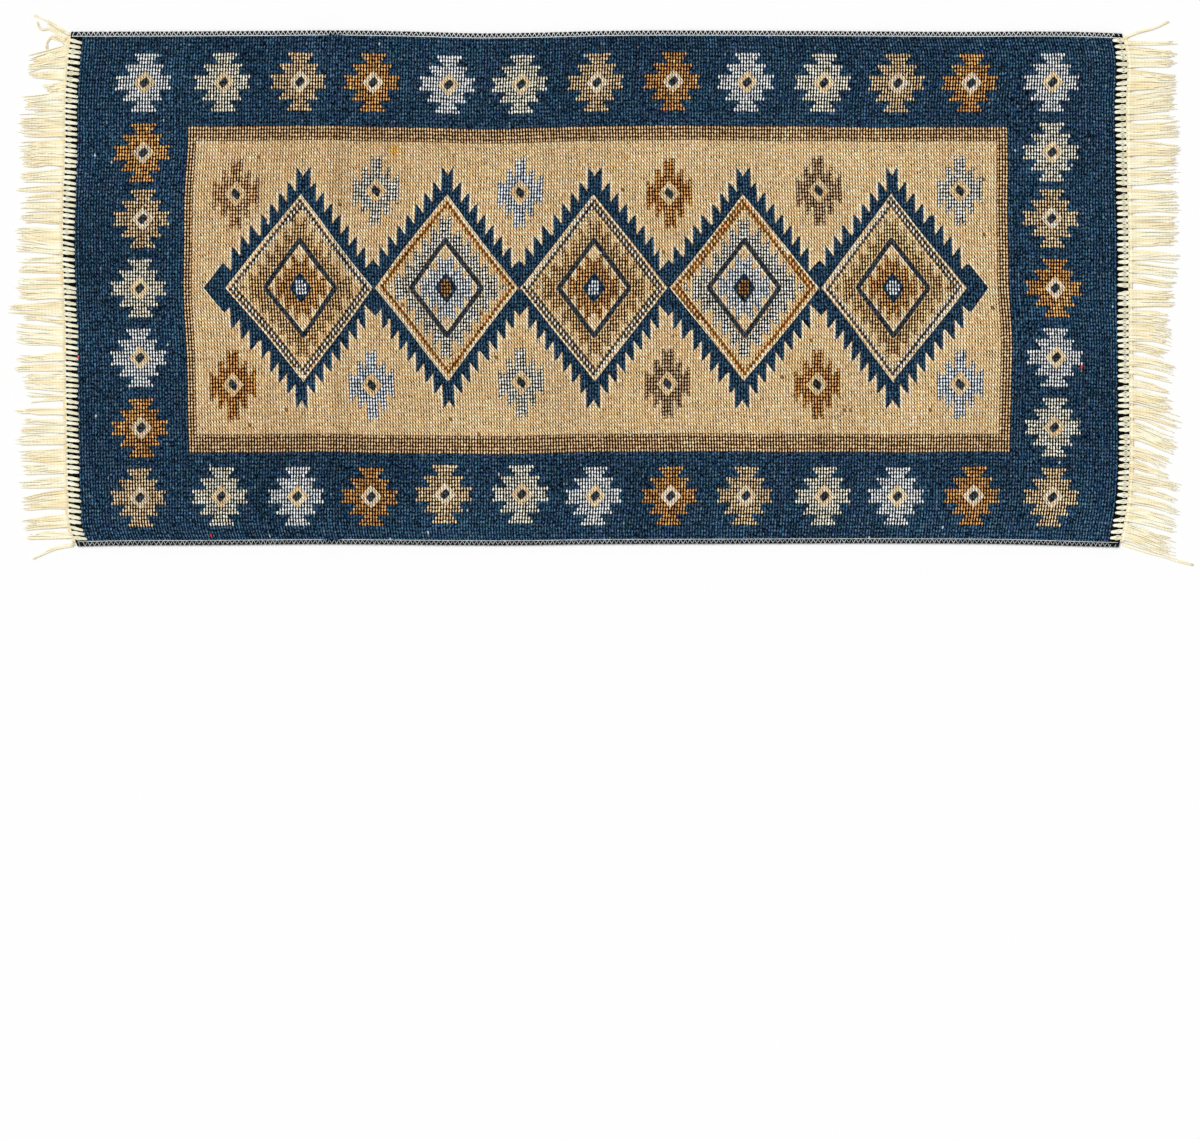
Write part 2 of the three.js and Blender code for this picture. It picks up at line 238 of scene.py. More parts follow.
BACK_YARNS = {
    Ink.GROUND: BACK_SAND,
    Ink.FIELD: BACK_NAVY,
    Ink.STAR_BLUE: Yarn((226, 234, 236), (104, 122, 136), (36, 54, 76), 1.0, 1.15),
    Ink.STAR_CREAM: Yarn((242, 228, 198), (112, 102, 84), (26, 26, 26), 1.0, 1.15),
    Ink.STAR_TAN: Yarn((240, 210, 166), (130, 98, 60), (64, 42, 18), 1.0, 1.15),
    Ink.STAR_RUST: Yarn((240, 200, 150), (130, 82, 38), (70, 28, 2), 1.0, 1.15),
    Ink.FRAME: Yarn((248, 246, 238), (94, 100, 106), (10, 20, 34), 1.0, 1.15),
    Ink.FLAME_BROWN: BACK_BROWN,
    Ink.FLAME_RUST: BACK_RUST,
    Ink.FLAME_NAVY: BACK_CREAM,
    Ink.FLAME_BLUE: BACK_BLUE,
    Ink.FLAME_TAN: Yarn((212, 180, 136), (74, 68, 62), (14, 22, 32), 0.95, 1.1),
    Ink.CHECK_WHITE: Yarn((244, 242, 230), (78, 86, 94), (12, 24, 38), 1.0, 1.1),
    Ink.CHECK_TAN: Yarn((228, 168, 106), (78, 60, 48), (12, 22, 34), 1.0, 1.1),
    Ink.STRIPE_BROWN: BACK_BROWN,
    Ink.STRIPE_NAVY: BACK_CREAM,
    Ink.CORE_RUST: BACK_RUST,
    Ink.CORE_BLUE: BACK_BLUE,
    Ink.HEART_BLUE: Yarn((228, 168, 106), (104, 64, 30), (46, 22, 8), 1.0, 1.1),
    Ink.HEART_RUST: Yarn((234, 244, 248), (70, 86, 104), (18, 30, 48), 1.0, 1.1),
    Ink.RING_SAND: BACK_RING,
    Ink.RING_CREAM: BACK_RING,
    Ink.PALE: Yarn((54, 80, 100), (32, 52, 70), (12, 24, 38), 1.2, 1.2, 0.8, 0.10),
    # Bound edges on the back: dark cloth, nearly black with painted shade.
    Ink.SHADED_HEM: Yarn((22, 22, 18), (12, 12, 10), (4, 4, 4), 1.0, 1.0),
    Ink.RED: BACK_NAVY,
    Ink.OUTLINE: BACK_SAND,
    Ink.CHECK_BLACK: Yarn((240, 238, 226), (120, 112, 98), (30, 34, 40), 1.0, 1.1),
    Ink.CHECK_BROWN: Yarn((204, 154, 98), (88, 64, 46), (18, 24, 34), 1.0, 1.1),
}

STRIPED = (
    Ink.FLAME_BROWN, Ink.FLAME_RUST, Ink.FLAME_NAVY, Ink.FLAME_BLUE, Ink.FLAME_TAN,
    Ink.STRIPE_BROWN, Ink.STRIPE_NAVY, Ink.CORE_RUST, Ink.CORE_BLUE,
)
SOFT_SLOT = 0.48


def linear(colour: Sequence[float]) -> Array:
    """Turns an sRGB colour into linear light.

    Args:
        colour: red, green and blue, 0 to 255.

    Returns:
        The three linear values, 0 to 1.
    """
    c = np.asarray(colour, dtype=float) / 255.0
    return np.where(c <= 0.04045, c / 12.92, ((c + 0.055) / 1.055) ** 2.4)


def rgba(colour: Sequence[float]) -> tuple[float, ...]:
    """Turns an sRGB colour, 0 to 255, into the value of a colour socket."""
    return (*linear(colour), 1.0)


def smooth_steps(low: float, high: float, values: Array) -> Array:
    """Rises softly from 0 at low to 1 at high.

    Args:
        low: where the rise starts.
        high: where it ends.
        values: the places to read.

    Returns:
        The rise at each place.
    """
    t = np.clip((values - low) / (high - low), 0.0, 1.0)
    return t * t * (3.0 - 2.0 * t)


def read_curve(at: Array, value: Array, along: Array) -> Array:
    """Reads a smooth curve that runs through a row of places.

    Args:
        at: where the places lie, rising.
        value: the curve's value at each of them.
        along: where the curve is read.

    Returns:
        Its value there.
    """
    slope = np.gradient(value, at)
    k = np.clip(np.searchsorted(at, along, side="right") - 1, 0, len(at) - 2)
    step = at[k + 1] - at[k]
    t = (along - at[k]) / step
    rise = value[k] * (2 * t**3 - 3 * t**2 + 1) + value[k + 1] * (3 * t**2 - 2 * t**3)
    bend = slope[k] * (t**3 - 2 * t**2 + t) + slope[k + 1] * (t**3 - t**2)
    return rise + step * bend


@dataclass(frozen=True)
class EdgeLine:
    """One uneven edge of the rug, as offsets at places along it."""

    places: tuple[tuple[float, float], ...]

    def at(self, along: Array) -> Array:
        """Reads the edge with a smooth curve through its places.

        Args:
            along: places along the edge, in millimetres.

        Returns:
            The edge's offset at each place, in millimetres.
        """
        table = np.asarray(self.places, dtype=float)
        at, value = table[:, 0], table[:, 1]
        return read_curve(at, value, np.clip(np.asarray(along, dtype=float), at[0], at[-1]))


FAR = EdgeLine(FAR_EDGE_MM)
NEAR = EdgeLine(NEAR_EDGE_MM)
LEFT = EdgeLine(LEFT_END_MM)
RIGHT = EdgeLine(RIGHT_END_MM)


@dataclass(frozen=True)
class Ridge:
    """A soft fold line that lifts the cloth across the rug.

    Attributes:
        along: where it lies along the rug.
        height: how far it lifts the cloth.
        left: how wide its left flank is.
        right: how wide its right flank is.
        near: where its near end fades.
        far: where its far end fades.
    """

    along: float
    height: float
    left: float
    right: float
    near: float = -400.0
    far: float = 400.0


RIDGES = (
    Ridge(-316, 5.6, 17, 11),
    Ridge(-54, 0.7, 14, 10, -320, -20),
    Ridge(80, 0.7, 12, 10, -320, -30),
    Ridge(254, 0.8, 13, 10, -320, 0),
    Ridge(505, 0.5, 20, 20),
)


def relief(x: Array, y: Array) -> Array:
    """Gives how far the cloth is lifted off the floor by its soft folds.

    Args:
        x: places along the rug, in millimetres.
        y: places across the rug, in millimetres.

    Returns:
        The lift at each place, in millimetres.
    """
    lift = 0.18 * (1 + np.sin(x * 0.031 + 1.3 * np.sin(y * 0.017)) * np.cos(y * 0.024 + 0.6))
    for ridge in RIDGES:
        line = ridge.along + 3.0 * np.sin(y * 0.012 + ridge.along)
        d = x - line
        flank = np.where(d < 0, ridge.left, ridge.right)
        fade = smooth_steps(ridge.near, ridge.near + 60, y)
        fade = fade * (1 - smooth_steps(ridge.far - 60, ridge.far, y))
        lift = lift + ridge.height * np.exp(-((d / flank) ** 2)) * fade
    return lift


# Pattern of the cloth, charted. Lengths are in millimetres unless they say cells.
CENTRE_ACROSS = 1.2
STAR_ROWS = (9, 7, 5, 14, 12, 11, 20, 18, 18, 20, 11, 12, 14, 5, 7, 9)
STAR_RING = (12.6, 13.8)
STAR_HOLE_LEAN = -0.25
FLAME_HOLE_LEAN = 0.35
EYE_ZONE = (26, 30)
EYE_HOLE = (0.42, 0.46)
HEART_MARK = 2.0
NO_EYE = (9.0, 9.0, 0.0)
STAR_CYCLE = (Ink.STAR_BLUE, Ink.STAR_CREAM, Ink.STAR_TAN, Ink.STAR_RUST)
FAR_STARS_AT = (-537, -443, -354, -268, -180, -92, -4, 85, 175, 266, 351, 438, 535)
NEAR_STARS_AT = (-542, -448, -356.7, -268.7, -182, -94, -6, 83, 172, 266, 352, 441, 535)
LEFT_STARS = ((162, -538, 3), (83, -538.7, 2), (1, -543.5, 1), (-82, -542.5, 0), (-162, -541, 3))
RIGHT_STARS = ((163, 535, 1), (84, 532.7, 2), (2, 537, 3), (-83, 539.3, 0), (-163, 535, 1))
FAR_STAR_ROW = 243.3
NEAR_STAR_ROW = -244.5
FRAME_FAR = 188.6
FRAME_NEAR = -191.8
FRAME_FAR_WIDTH = 17.3
FRAME_NEAR_WIDTH = 19.6
FRAME_SIDE_WIDTHS = (11.0, 13.4)
FRAME_LEFT = -485.0
FRAME_RIGHT = 483.7
DIAMOND_TIPS = (-443.7, -266.9, -95.1, 80.9, 260.0, 434.2)
JOINT_GAP = 1.3
DIAMOND_AT = (-353.7, -181.3, -7.1, 170.1, 346.0)
DIAMOND_HALF = 110.5
TEETH_MIDDLES = ((2.0, -2.5), (0.0, -0.2), (1.0, -1.4), (1.0, -1.4), (2.0, -0.2))
TEETH_FIRST = (17.1, 125.0)
TEETH_STEPS = (
    (10.9, 9.75, 10.6, 10.25),
    (10.1, 10.2, 10.35, 10.5),
    (10.9, 10.0, 9.8, 10.3),
    (11.2, 10.0, 10.9, 10.3),
    (10.6, 10.3, 10.35, 10.7),
)
TEETH_DOWN = 12.75
TEETH_CUT = (1.4, 11.8)
TOOTH_TOP = 1.5
CROWN_HALF = 7.9
CROWN_PRONG = 142.0
CROWN_NOTCH = 132.6
ARROW_TIP = 25.6
ARROW_SHOULDER = (2.6, 29.6)
ARROW_NOTCH_SLOPE = 1.0
INNER_ARROW = (31.6, 1.1)
CHECK_LINE = (0.853, 0.957)
STRIPES_CUT = (1.1, 8.5)
STRIPES_FIRST = (7.9, 83.4)
STRIPES_STEP = (10.3, 12.8)
HEART_STRIPES_FIRST = (9.6, 39.0)
HEART_STRIPES_STEP = (9.9, 10.8)
OUTLINE_HALF = (46.0, 62.0)
OUTLINE_OUTSIDE = 0.985
OUTLINE_INSIDE = 0.834
OUTLINE_BLUNT = 0.952
HEART_HALF = (13.4, 18.4)
HEART_CHECK = (7.3, 10.0)
FLAME_TABLE = (
    (-3.8, 4.3), (-2.4, 3.4), (-2.0, 2.4), (-6.6, 6.6),
    (-6.1, 5.4), (-4.9, 4.2), (-9.6, 9.2), (-8.8, 9.1),
)
FLAME_RING = (12.6, 14.8)
BOUND_PICKS = (4, 4)
FAR_FLAMES = (
    (-431, Ink.FLAME_BROWN), (-263.7, Ink.FLAME_NAVY), (-93, Ink.FLAME_BLUE),
    (80, Ink.FLAME_RUST), (257, Ink.FLAME_TAN), (426, Ink.FLAME_NAVY),
)
NEAR_FLAMES = (
    (-433, Ink.FLAME_RUST), (-268, Ink.FLAME_BLUE), (-92, Ink.FLAME_NAVY),
    (79, Ink.FLAME_TAN), (257, Ink.FLAME_RUST), (426, Ink.FLAME_BLUE),
)
RED_FLECKS = ((-615.0, -79.0), (-459.0, -293.0), (567.0, -94.5))
FAR_FLAME_ROW = 114.0
NEAR_FLAME_ROW = -111.5
STAIN_AT = (-242.0, 164.0)
STAIN_REACH = 4.6
STAIN_TINT = (0.02, 0.2, 0.7)

# Flecks of other yarn: the draws from 0 to 1 that call for them, and their sRGB colours.
DARK_YARN_BELOW = 125
DULL_BELOW = 0.02
DULL_FLECK = (126, 144, 152)
BRIGHT_ABOVE = 0.9988
BRIGHT_FLECK = (190, 206, 212)
WHITE_BELOW = 0.05
WHITE_FLECK = (255, 250, 232)
ROSY_BELOW = 0.08
ROSY_GAP = (214, 170, 140)
KNOT_BELOW = 0.082
KNOT_FLOAT = (168, 128, 80)
KNOT_GAP = (116, 82, 44)
AMBER_ABOVE = 0.992
AMBER_GAP = (224, 170, 96)


def plan(u: Array, v: Array) -> tuple[Array, Array]:
    """Places the weave's own square onto the rug's uneven outline.

    Args:
        u: place along the rug, 0 at the left end to 1 at the right end.
        v: place across the rug, 0 at the near edge to 1 at the far edge.

    Returns:
        X and Y in millimetres.
    """
    x = CLOTH_LEFT_MM + CLOTH_LONG_MM * u
    y = CLOTH_NEAR_MM + CLOTH_WIDE_MM * v
    for _ in range(3):
        x = LEFT.at(y) + (RIGHT.at(y) - LEFT.at(y)) * u
        y = NEAR.at(x) + (FAR.at(x) - NEAR.at(x)) * v
    inside = smooth_steps(0, 0.04, u) * smooth_steps(0, 0.04, 1 - u)
    inside = inside * smooth_steps(0, 0.05, v) * smooth_steps(0, 0.05, 1 - v)
    x = x + inside * (1.0 * np.sin(y * 0.019 + x * 0.006) + 0.5 * np.sin(y * 0.047 - x * 0.011))
    y = y + inside * (0.6 * np.sin(x * 0.013 + 0.8) + 0.3 * np.sin(x * 0.041 + y * 0.02))
    bow = np.exp(-(((y + 40) / 80) ** 2))
    x = x - 3.6 * bow * smooth_steps(-640, -570, x) * (1 - smooth_steps(-470, -380, x))
    bend = 2.4 * np.exp(-(((y + 60) / 42) ** 2)) - 1.6 * np.exp(-(((y - 10) / 35) ** 2))
    x = x + bend * smooth_steps(380, 470, x) * (1 - smooth_steps(560, 630, x))
    return x, y


def straight(u: Array) -> Array:
    """Gives X on the rug's middle line for a place along the weave.

    Args:
        u: place along the rug, 0 at the left end to 1 at the right end.

    Returns:
        X in millimetres.
    """
    return plan(u, np.full(np.shape(u), 0.5))[0]


def outer_side(column: Array, limit: object) -> Array:
    """Gives the outer side of the last column whose middle lies within a limit.

    Args:
        column: how far the middle of the place's own column lies from the motif's middle.
        limit: the limit, measured in the same way.

    Returns:
        The side's distance from the motif's middle.
    """
    pitch = COLUMN_MM
    return column + pitch * np.floor((limit - column) / pitch) + pitch / 2


def saw_edge(
    ax: Array, column: Array, first: tuple[float, float], step: tuple[object, float],
    cut: tuple[float, float],
) -> Array:
    """Gives the height of a sawtooth edge that climbs towards the middle of a motif.

    Each tooth has an upright outer side, which falls between two columns of the weave.

    Args:
        ax: places away from the middle.
        column: the same for the middle of the weave's column, which picks the tooth.
        first: the innermost tooth's tip.
        step: from one tip to the next, outwards and down.
        cut: the slope of each tooth's inner side, and how deep the notches are.

    Returns:
        The height of the edge at each place.
    """
    tooth = np.ceil((column - first[0]) / step[0]).clip(0)
    tip_x = outer_side(column, first[0] + tooth * step[0])
    tip_y = first[1] - tooth * step[1]
    return tip_y - np.minimum(cut[0] * (tip_x - ax - TOOTH_TOP).clip(0), cut[1])


@dataclass
class Spots:
    """Places on the cloth, each with the middle of the weave cell that it belongs to.

    Places along the rug are those on its middle line, so that upright sides follow the weave.

    Attributes:
        x: the places along the rug.
        y: the places across it.
        cell_x: their cells' middles along the rug.
        cell_y: their cells' middles across it.
    """

    x: Array
    y: Array
    cell_x: Array
    cell_y: Array

    def away(self, along: object, across: float) -> tuple[Array, Array, Array]:
        """Measures how far the places lie from a motif's middle, without a sign.

        Args:
            along: the motif's middle along the rug.
            across: the motif's middle across the rug.

        Returns:
            The distances along and across, and that of the cell's middle along.
        """
        side = np.where(self.cell_x < along, -1.0, 1.0)
        face = np.where(self.cell_y < across, -1.0, 1.0)
        return side * (self.x - along), face * (self.y - across), side * (self.cell_x - along)


def diamond_spans(cell_x: Array) -> tuple[Array, Array, Array]:
    """Finds the big diamond that each place belongs to.

    Args:
        cell_x: places along the rug.

    Returns:
        The diamond's number, its middle, and its half width on that side.
    """
    tips = np.array(DIAMOND_TIPS)
    number = np.searchsorted(tips[1:-1], cell_x)
    centre = np.array(DIAMOND_AT)[number]
    half = np.where(cell_x < centre, centre - tips[number], tips[number + 1] - centre)
    return number, centre, half - JOINT_GAP


def teeth_depth(spots: Spots) -> Array:
    """Gives how deep places lie in the diamonds' solid toothed border.

    Args:
        spots: the places.

    Returns:
        The depth in millimetres, negative outside.
    """
    number, centre, half = diamond_spans(spots.cell_x)
    ax, ay, _ = spots.away(centre, CENTRE_ACROSS)
    outside = (ax / half + ay / DIAMOND_HALF - 1.0) / np.hypot(1.0 / half, 1.0 / DIAMOND_HALF)
    past = ax - half
    lower = (spots.cell_y < CENTRE_ACROSS).astype(int)
    middle = np.array(TEETH_MIDDLES)[number, lower]
    ax, ay, column = spots.away(centre + middle, CENTRE_ACROSS)
    left = spots.cell_x < centre + middle
    step = np.array(TEETH_STEPS)[number, 2 * lower + 1 - left.astype(int)]
    edge = saw_edge(ax, column, TEETH_FIRST, (step, TEETH_DOWN), TEETH_CUT)
    crown = outer_side(column, CROWN_HALF)
    prong = CROWN_NOTCH + (CROWN_PRONG - CROWN_NOTCH) * ax / (crown * 0.86)
    edge = np.where(column < CROWN_HALF, np.minimum(prong, CROWN_PRONG + 1), edge)
    shoulder_x, shoulder_y = ARROW_SHOULDER
    notch = shoulder_y - ARROW_NOTCH_SLOPE * (shoulder_x - past)
    point = shoulder_y * (ARROW_TIP - past) / (ARROW_TIP - shoulder_x)
    inner = INNER_ARROW[0] + INNER_ARROW[1] * past
    at_end = np.where(left, number == 0, number == len(DIAMOND_AT) - 1)
    arrow = np.where(at_end, np.minimum(notch, point), inner)
    edge = np.where(column > TEETH_FIRST[0] + 6 * step, arrow, edge)
    return np.minimum(outside, 0.65 * (edge - ay))


def middle_third(column: Array, first: float, step: float) -> Array:
    """Finds the middle columns of the stripes' teeth.

    Args:
        column: how far the middle of the place's own column lies from the motif's middle.
        first: the innermost tooth's tip.
        step: from one tip to the next.

    Returns:
        True in the middle third of each tooth.
    """
    part = (column - first) % step / step
    return (part > 1 / 3) & (part <= 2 / 3)


@dataclass
class Chart:
    """Which yarn shows in each cell of the weave.

    Attributes:
        x: plan X of the middle of each cell, in millimetres, by pick and warp.
        y: plan Y of the middle of each cell, in millimetres, by pick and warp.
        column: X of each pick on the rug's middle line, by pick and warp.
        cells: the number of the ink in each cell.
        rings: the number of the ink of the eye's ring there.
        soft: where the slots beside a striped cell are shallow.
        eyes: the middle of each motif's eye, its ring's half size, and how its hole leans.
    """

    x: Array = field(init=False)
    y: Array = field(init=False)
    column: Array = field(init=False)
    cells: Array = field(init=False)
    rings: Array = field(init=False)
    soft: Array = field(init=False)
    eyes: list[tuple[float, float, tuple[float, float], float]] = field(default_factory=list)

    def __post_init__(self) -> None:
        u, v = np.meshgrid(
            (np.arange(PICKS) + 0.5) / PICKS, (np.arange(WARPS) + 0.5) / WARPS, indexing="ij"
        )
        self.x, self.y = plan(u, v)
        self.column = straight(u)
        self.cells = np.full((PICKS, WARPS), Ink.GROUND.value, dtype=np.uint8)
        self.rings = np.full((PICKS, WARPS), Ink.RING_SAND.value, dtype=np.uint8)
        self.soft = np.zeros((PICKS, WARPS), dtype=bool)
        self.frame()
        self.diamonds()
        for row, motifs in ((FAR_FLAME_ROW, FAR_FLAMES), (NEAR_FLAME_ROW, NEAR_FLAMES)):
            for along, ink in motifs:
                self.flame(along, row, ink)
        self.stars()
        # Bound edges: dark cloth with painted shade between stitches and under the casing.
        self.cells[: BOUND_PICKS[0]] = Ink.SHADED_HEM.value
        self.cells[-BOUND_PICKS[1] :] = Ink.SHADED_HEM.value
        self.cells[:, [0, -1]] = Ink.SHADED_HEM.value
        for along, across in RED_FLECKS:
            self.cells[self.nearest(along, across)] = Ink.RED.value

    def paint(self, where: Array, ink: Ink) -> None:
        """Weaves one ink into the cells where a mask is true."""
        self.cells[where] = ink.value

    def ring(self, pick: int, warp: int, ink: Ink) -> None:
        """Sets the yarn of the ring around a motif's middle."""
        self.rings[pick - 6 : pick + 7, warp - 6 : warp + 8] = ink.value

    def nearest(self, x: float, y: float) -> tuple[int, int]:
        """Finds the cell whose middle is nearest to a place.

        Args:
            x: plan X in millimetres.
            y: plan Y in millimetres.

        Returns:
            The cell's pick and warp.
        """
        spot = np.argmin((self.x - x) ** 2 + (self.y - y) ** 2)
        pick, warp = np.unravel_index(spot, self.x.shape)
        return int(pick), int(warp)

    def frame(self) -> None:
        """Weaves the narrow checked frame and the plain field inside it."""
        left, far = self.nearest(FRAME_LEFT, FRAME_FAR)
        right, near = self.nearest(FRAME_RIGHT, FRAME_NEAR)
        self.cells[left : right + 1, near : far + 1] = Ink.FRAME.value
        sides = [round(width / PICK_MM) for width in FRAME_SIDE_WIDTHS]
        low = near + round(FRAME_NEAR_WIDTH / WARP_MM)
        high = far - round(FRAME_FAR_WIDTH / WARP_MM)
        self.cells[left + sides[0] : right + 1 - sides[1], low : high + 1] = Ink.FIELD.value

    def diamonds(self) -> None:
        """Weaves what is inside the big diamonds, and the pale floats along their solid border."""
        spots = Spots(self.column, self.y, self.column, self.y)
        number, centre, half = diamond_spans(self.column)
        ax, ay, column = spots.away(centre, CENTRE_ACROSS)
        n = ax / half + ay / DIAMOND_HALF
        m = ax / OUTLINE_HALF[0] + ay / OUTLINE_HALF[1]
        odd = number % 2 == 0
        solid = teeth_depth(spots) > 0
        beside = np.roll(solid, 1, axis=0) | np.roll(solid, -1, axis=0)
        inside_frame = self.cells == Ink.FIELD.value
        self.paint(beside & ~solid & (n > 1) & inside_frame, Ink.PALE)
        self.paint((n < 1) & (n > CHECK_LINE[1]), Ink.PALE)
        self.paint((m < OUTLINE_INSIDE) & (m > OUTLINE_INSIDE - 0.07), Ink.PALE)
        line = (n > CHECK_LINE[0]) & (n <= CHECK_LINE[1])
        dark = np.add.outer(np.arange(PICKS), np.arange(WARPS)) % 2 == 0
        self.paint(line & odd, Ink.CHECK_WHITE)
        self.paint(line & odd & dark, Ink.CHECK_BLACK)
        self.paint(line & ~odd, Ink.CHECK_TAN)
        self.paint(line & ~odd & dark, Ink.CHECK_BROWN)
        outer_edge = saw_edge(ax, column, STRIPES_FIRST, STRIPES_STEP, STRIPES_CUT)
        blunt = np.maximum(ax / OUTLINE_HALF[0], ay / OUTLINE_HALF[1]) > OUTLINE_BLUNT
        beyond = (m > OUTLINE_OUTSIDE) | blunt
        outer = beyond & (n < CHECK_LINE[0] - 0.03) & (ay < outer_edge)
        self.paint(outer & odd, Ink.STRIPE_BROWN)
        self.paint(outer & ~odd, Ink.STRIPE_NAVY)
        self.soft |= outer & middle_third(column, STRIPES_FIRST[0], STRIPES_STEP[0])
        inner_edge = saw_edge(ax, column, HEART_STRIPES_FIRST, HEART_STRIPES_STEP, STRIPES_CUT)
        inner = (m < OUTLINE_INSIDE) & (ay < inner_edge)
        self.paint(inner & odd, Ink.CORE_RUST)
        self.paint(inner & ~odd, Ink.CORE_BLUE)
        self.soft |= inner & middle_third(column, HEART_STRIPES_FIRST[0], HEART_STRIPES_STEP[0])
        check = np.hypot(ax / HEART_CHECK[0], ay / HEART_CHECK[1]) < 1
        self.paint(check & odd, Ink.HEART_BLUE)
        self.paint(check & ~odd, Ink.HEART_RUST)
        for middle in DIAMOND_AT:
            self.eyes.append((middle, CENTRE_ACROSS, HEART_HALF, HEART_MARK))

    def stars(self) -> None:
        """Weaves the stars of the border, in their order of colours."""
        places = []
        for k, along in enumerate(FAR_STARS_AT):
            places.append((along, FAR_STAR_ROW, k % 4))
        for k, along in enumerate(NEAR_STARS_AT):
            places.append((along, NEAR_STAR_ROW, (2, 1, 0, 3)[k % 4]))
        for across, along, colour in LEFT_STARS + RIGHT_STARS:
            places.append((along, across, colour))
        for along, across, colour in places:
            self.star(along, across, STAR_CYCLE[colour])

    def star(self, along: float, across: float, ink: Ink) -> None:
        """Weaves one eight-armed star and places its eye."""
        pick, warp = self.nearest(along, across - WARP_MM / 2)
        rows = len(STAR_ROWS)
        for r, wide in enumerate(STAR_ROWS):
            first = pick - wide // 2
            self.cells[first : first + wide, warp + rows // 2 - r] = ink.value
        if ink in (Ink.STAR_TAN, Ink.STAR_RUST):
            self.ring(pick, warp, Ink.RING_CREAM)
        middle = self.y[pick, warp] + WARP_MM / 2
        self.eyes.append((self.column[pick, warp], middle, STAR_RING, STAR_HOLE_LEAN))

    def flame(self, along: float, across: float, ink: Ink) -> None:
        """Weaves one stepped flame of upright stripes around an eye.

        Args:
            along: its middle along the rug.
            across: its middle across the rug.
            ink: the yarn of its stripes.
        """
        pick, warp = self.nearest(along + PICK_MM / 2, across)
        half = len(FLAME_TABLE)
        for c, (top, bottom) in enumerate(FLAME_TABLE):
            column = pick - half + c
            other = pick + half - 1 - c
            self.soft[column, warp - 10 : warp + 11] = c % 3 == 1
            self.soft[other, warp - 10 : warp + 11] = c % 3 == 2
            for r in range(math.ceil(top), math.floor(bottom) + 1):
                self.cells[column, warp - r] = ink.value
                self.cells[other, warp + r] = ink.value
        self.ring(pick, warp, Ink.FIELD)
        middle = self.column[pick, warp] - PICK_MM / 2
        self.eyes.append((middle, self.y[pick, warp], FLAME_RING, FLAME_HOLE_LEAN))

    def outline(self, spots: Spots) -> Array:
        """Gives where places lie against each diamond's solid outline.

        Args:
            spots: the places.

        Returns:
            Rows of signed places along and across, in half sizes of the outline.
        """
        _, centre, _ = diamond_spans(spots.cell_x)
        along = (spots.x - centre) / OUTLINE_HALF[0]
        across = (spots.y - CENTRE_ACROSS) / OUTLINE_HALF[1]
        return np.stack([along, across, 0 * along], axis=-1)

    def eye(self, spots: Spots) -> Array:
        """Gives where places lie against the nearest eye or heart.

        Args:
            spots: the places.

        Returns:
            Rows of signed places along and across, in half sizes of the ring, and the mark that
            tells a heart or the lean of the eye's hole.
        """
        value = np.tile(np.array(NO_EYE), (len(spots.x), 1))
        for along, across, (wide, high), mark in self.eyes:
            near = np.abs(spots.cell_x - along) < EYE_ZONE[0]
            near &= np.abs(spots.cell_y - across) < EYE_ZONE[1]
            value[near, 0] = (spots.x[near] - along) / wide
            value[near, 1] = (spots.y[near] - across) / high
            value[near, 2] = mark
        _, centre, _ = diamond_spans(spots.cell_x)
        check_x = (spots.cell_x - centre) / HEART_CHECK[0]
        check_y = (spots.cell_y - CENTRE_ACROSS) / HEART_CHECK[1]
        value[np.hypot(check_x, check_y) < 1] = NO_EYE
        return value


def blurred(noise: Array, along: float, across: float) -> Array:
    """Softens random numbers over neighbouring cells and gives them a spread of one.

    Args:
        noise: the numbers, by pick and warp.
        along: how many picks they run together.
        across: how many warps they run together.

    Returns:
        The softened numbers.
    """
    for axis, reach in ((0, along), (1, across)):
        if reach <= 0:
            continue
        taps = np.arange(-int(3 * reach), int(3 * reach) + 1)
        kernel = np.exp(-0.5 * (taps / reach) ** 2)
        spectrum = np.fft.rfft(noise, axis=axis)
        wide = np.zeros(noise.shape[axis])
        wide[taps % len(wide)] += kernel / kernel.sum()
        shape = [1, 1]
        shape[axis] = -1
        spectrum = spectrum * np.fft.rfft(wide).reshape(shape)
        noise = np.fft.irfft(spectrum, n=noise.shape[axis], axis=axis)
    return noise / noise.std()


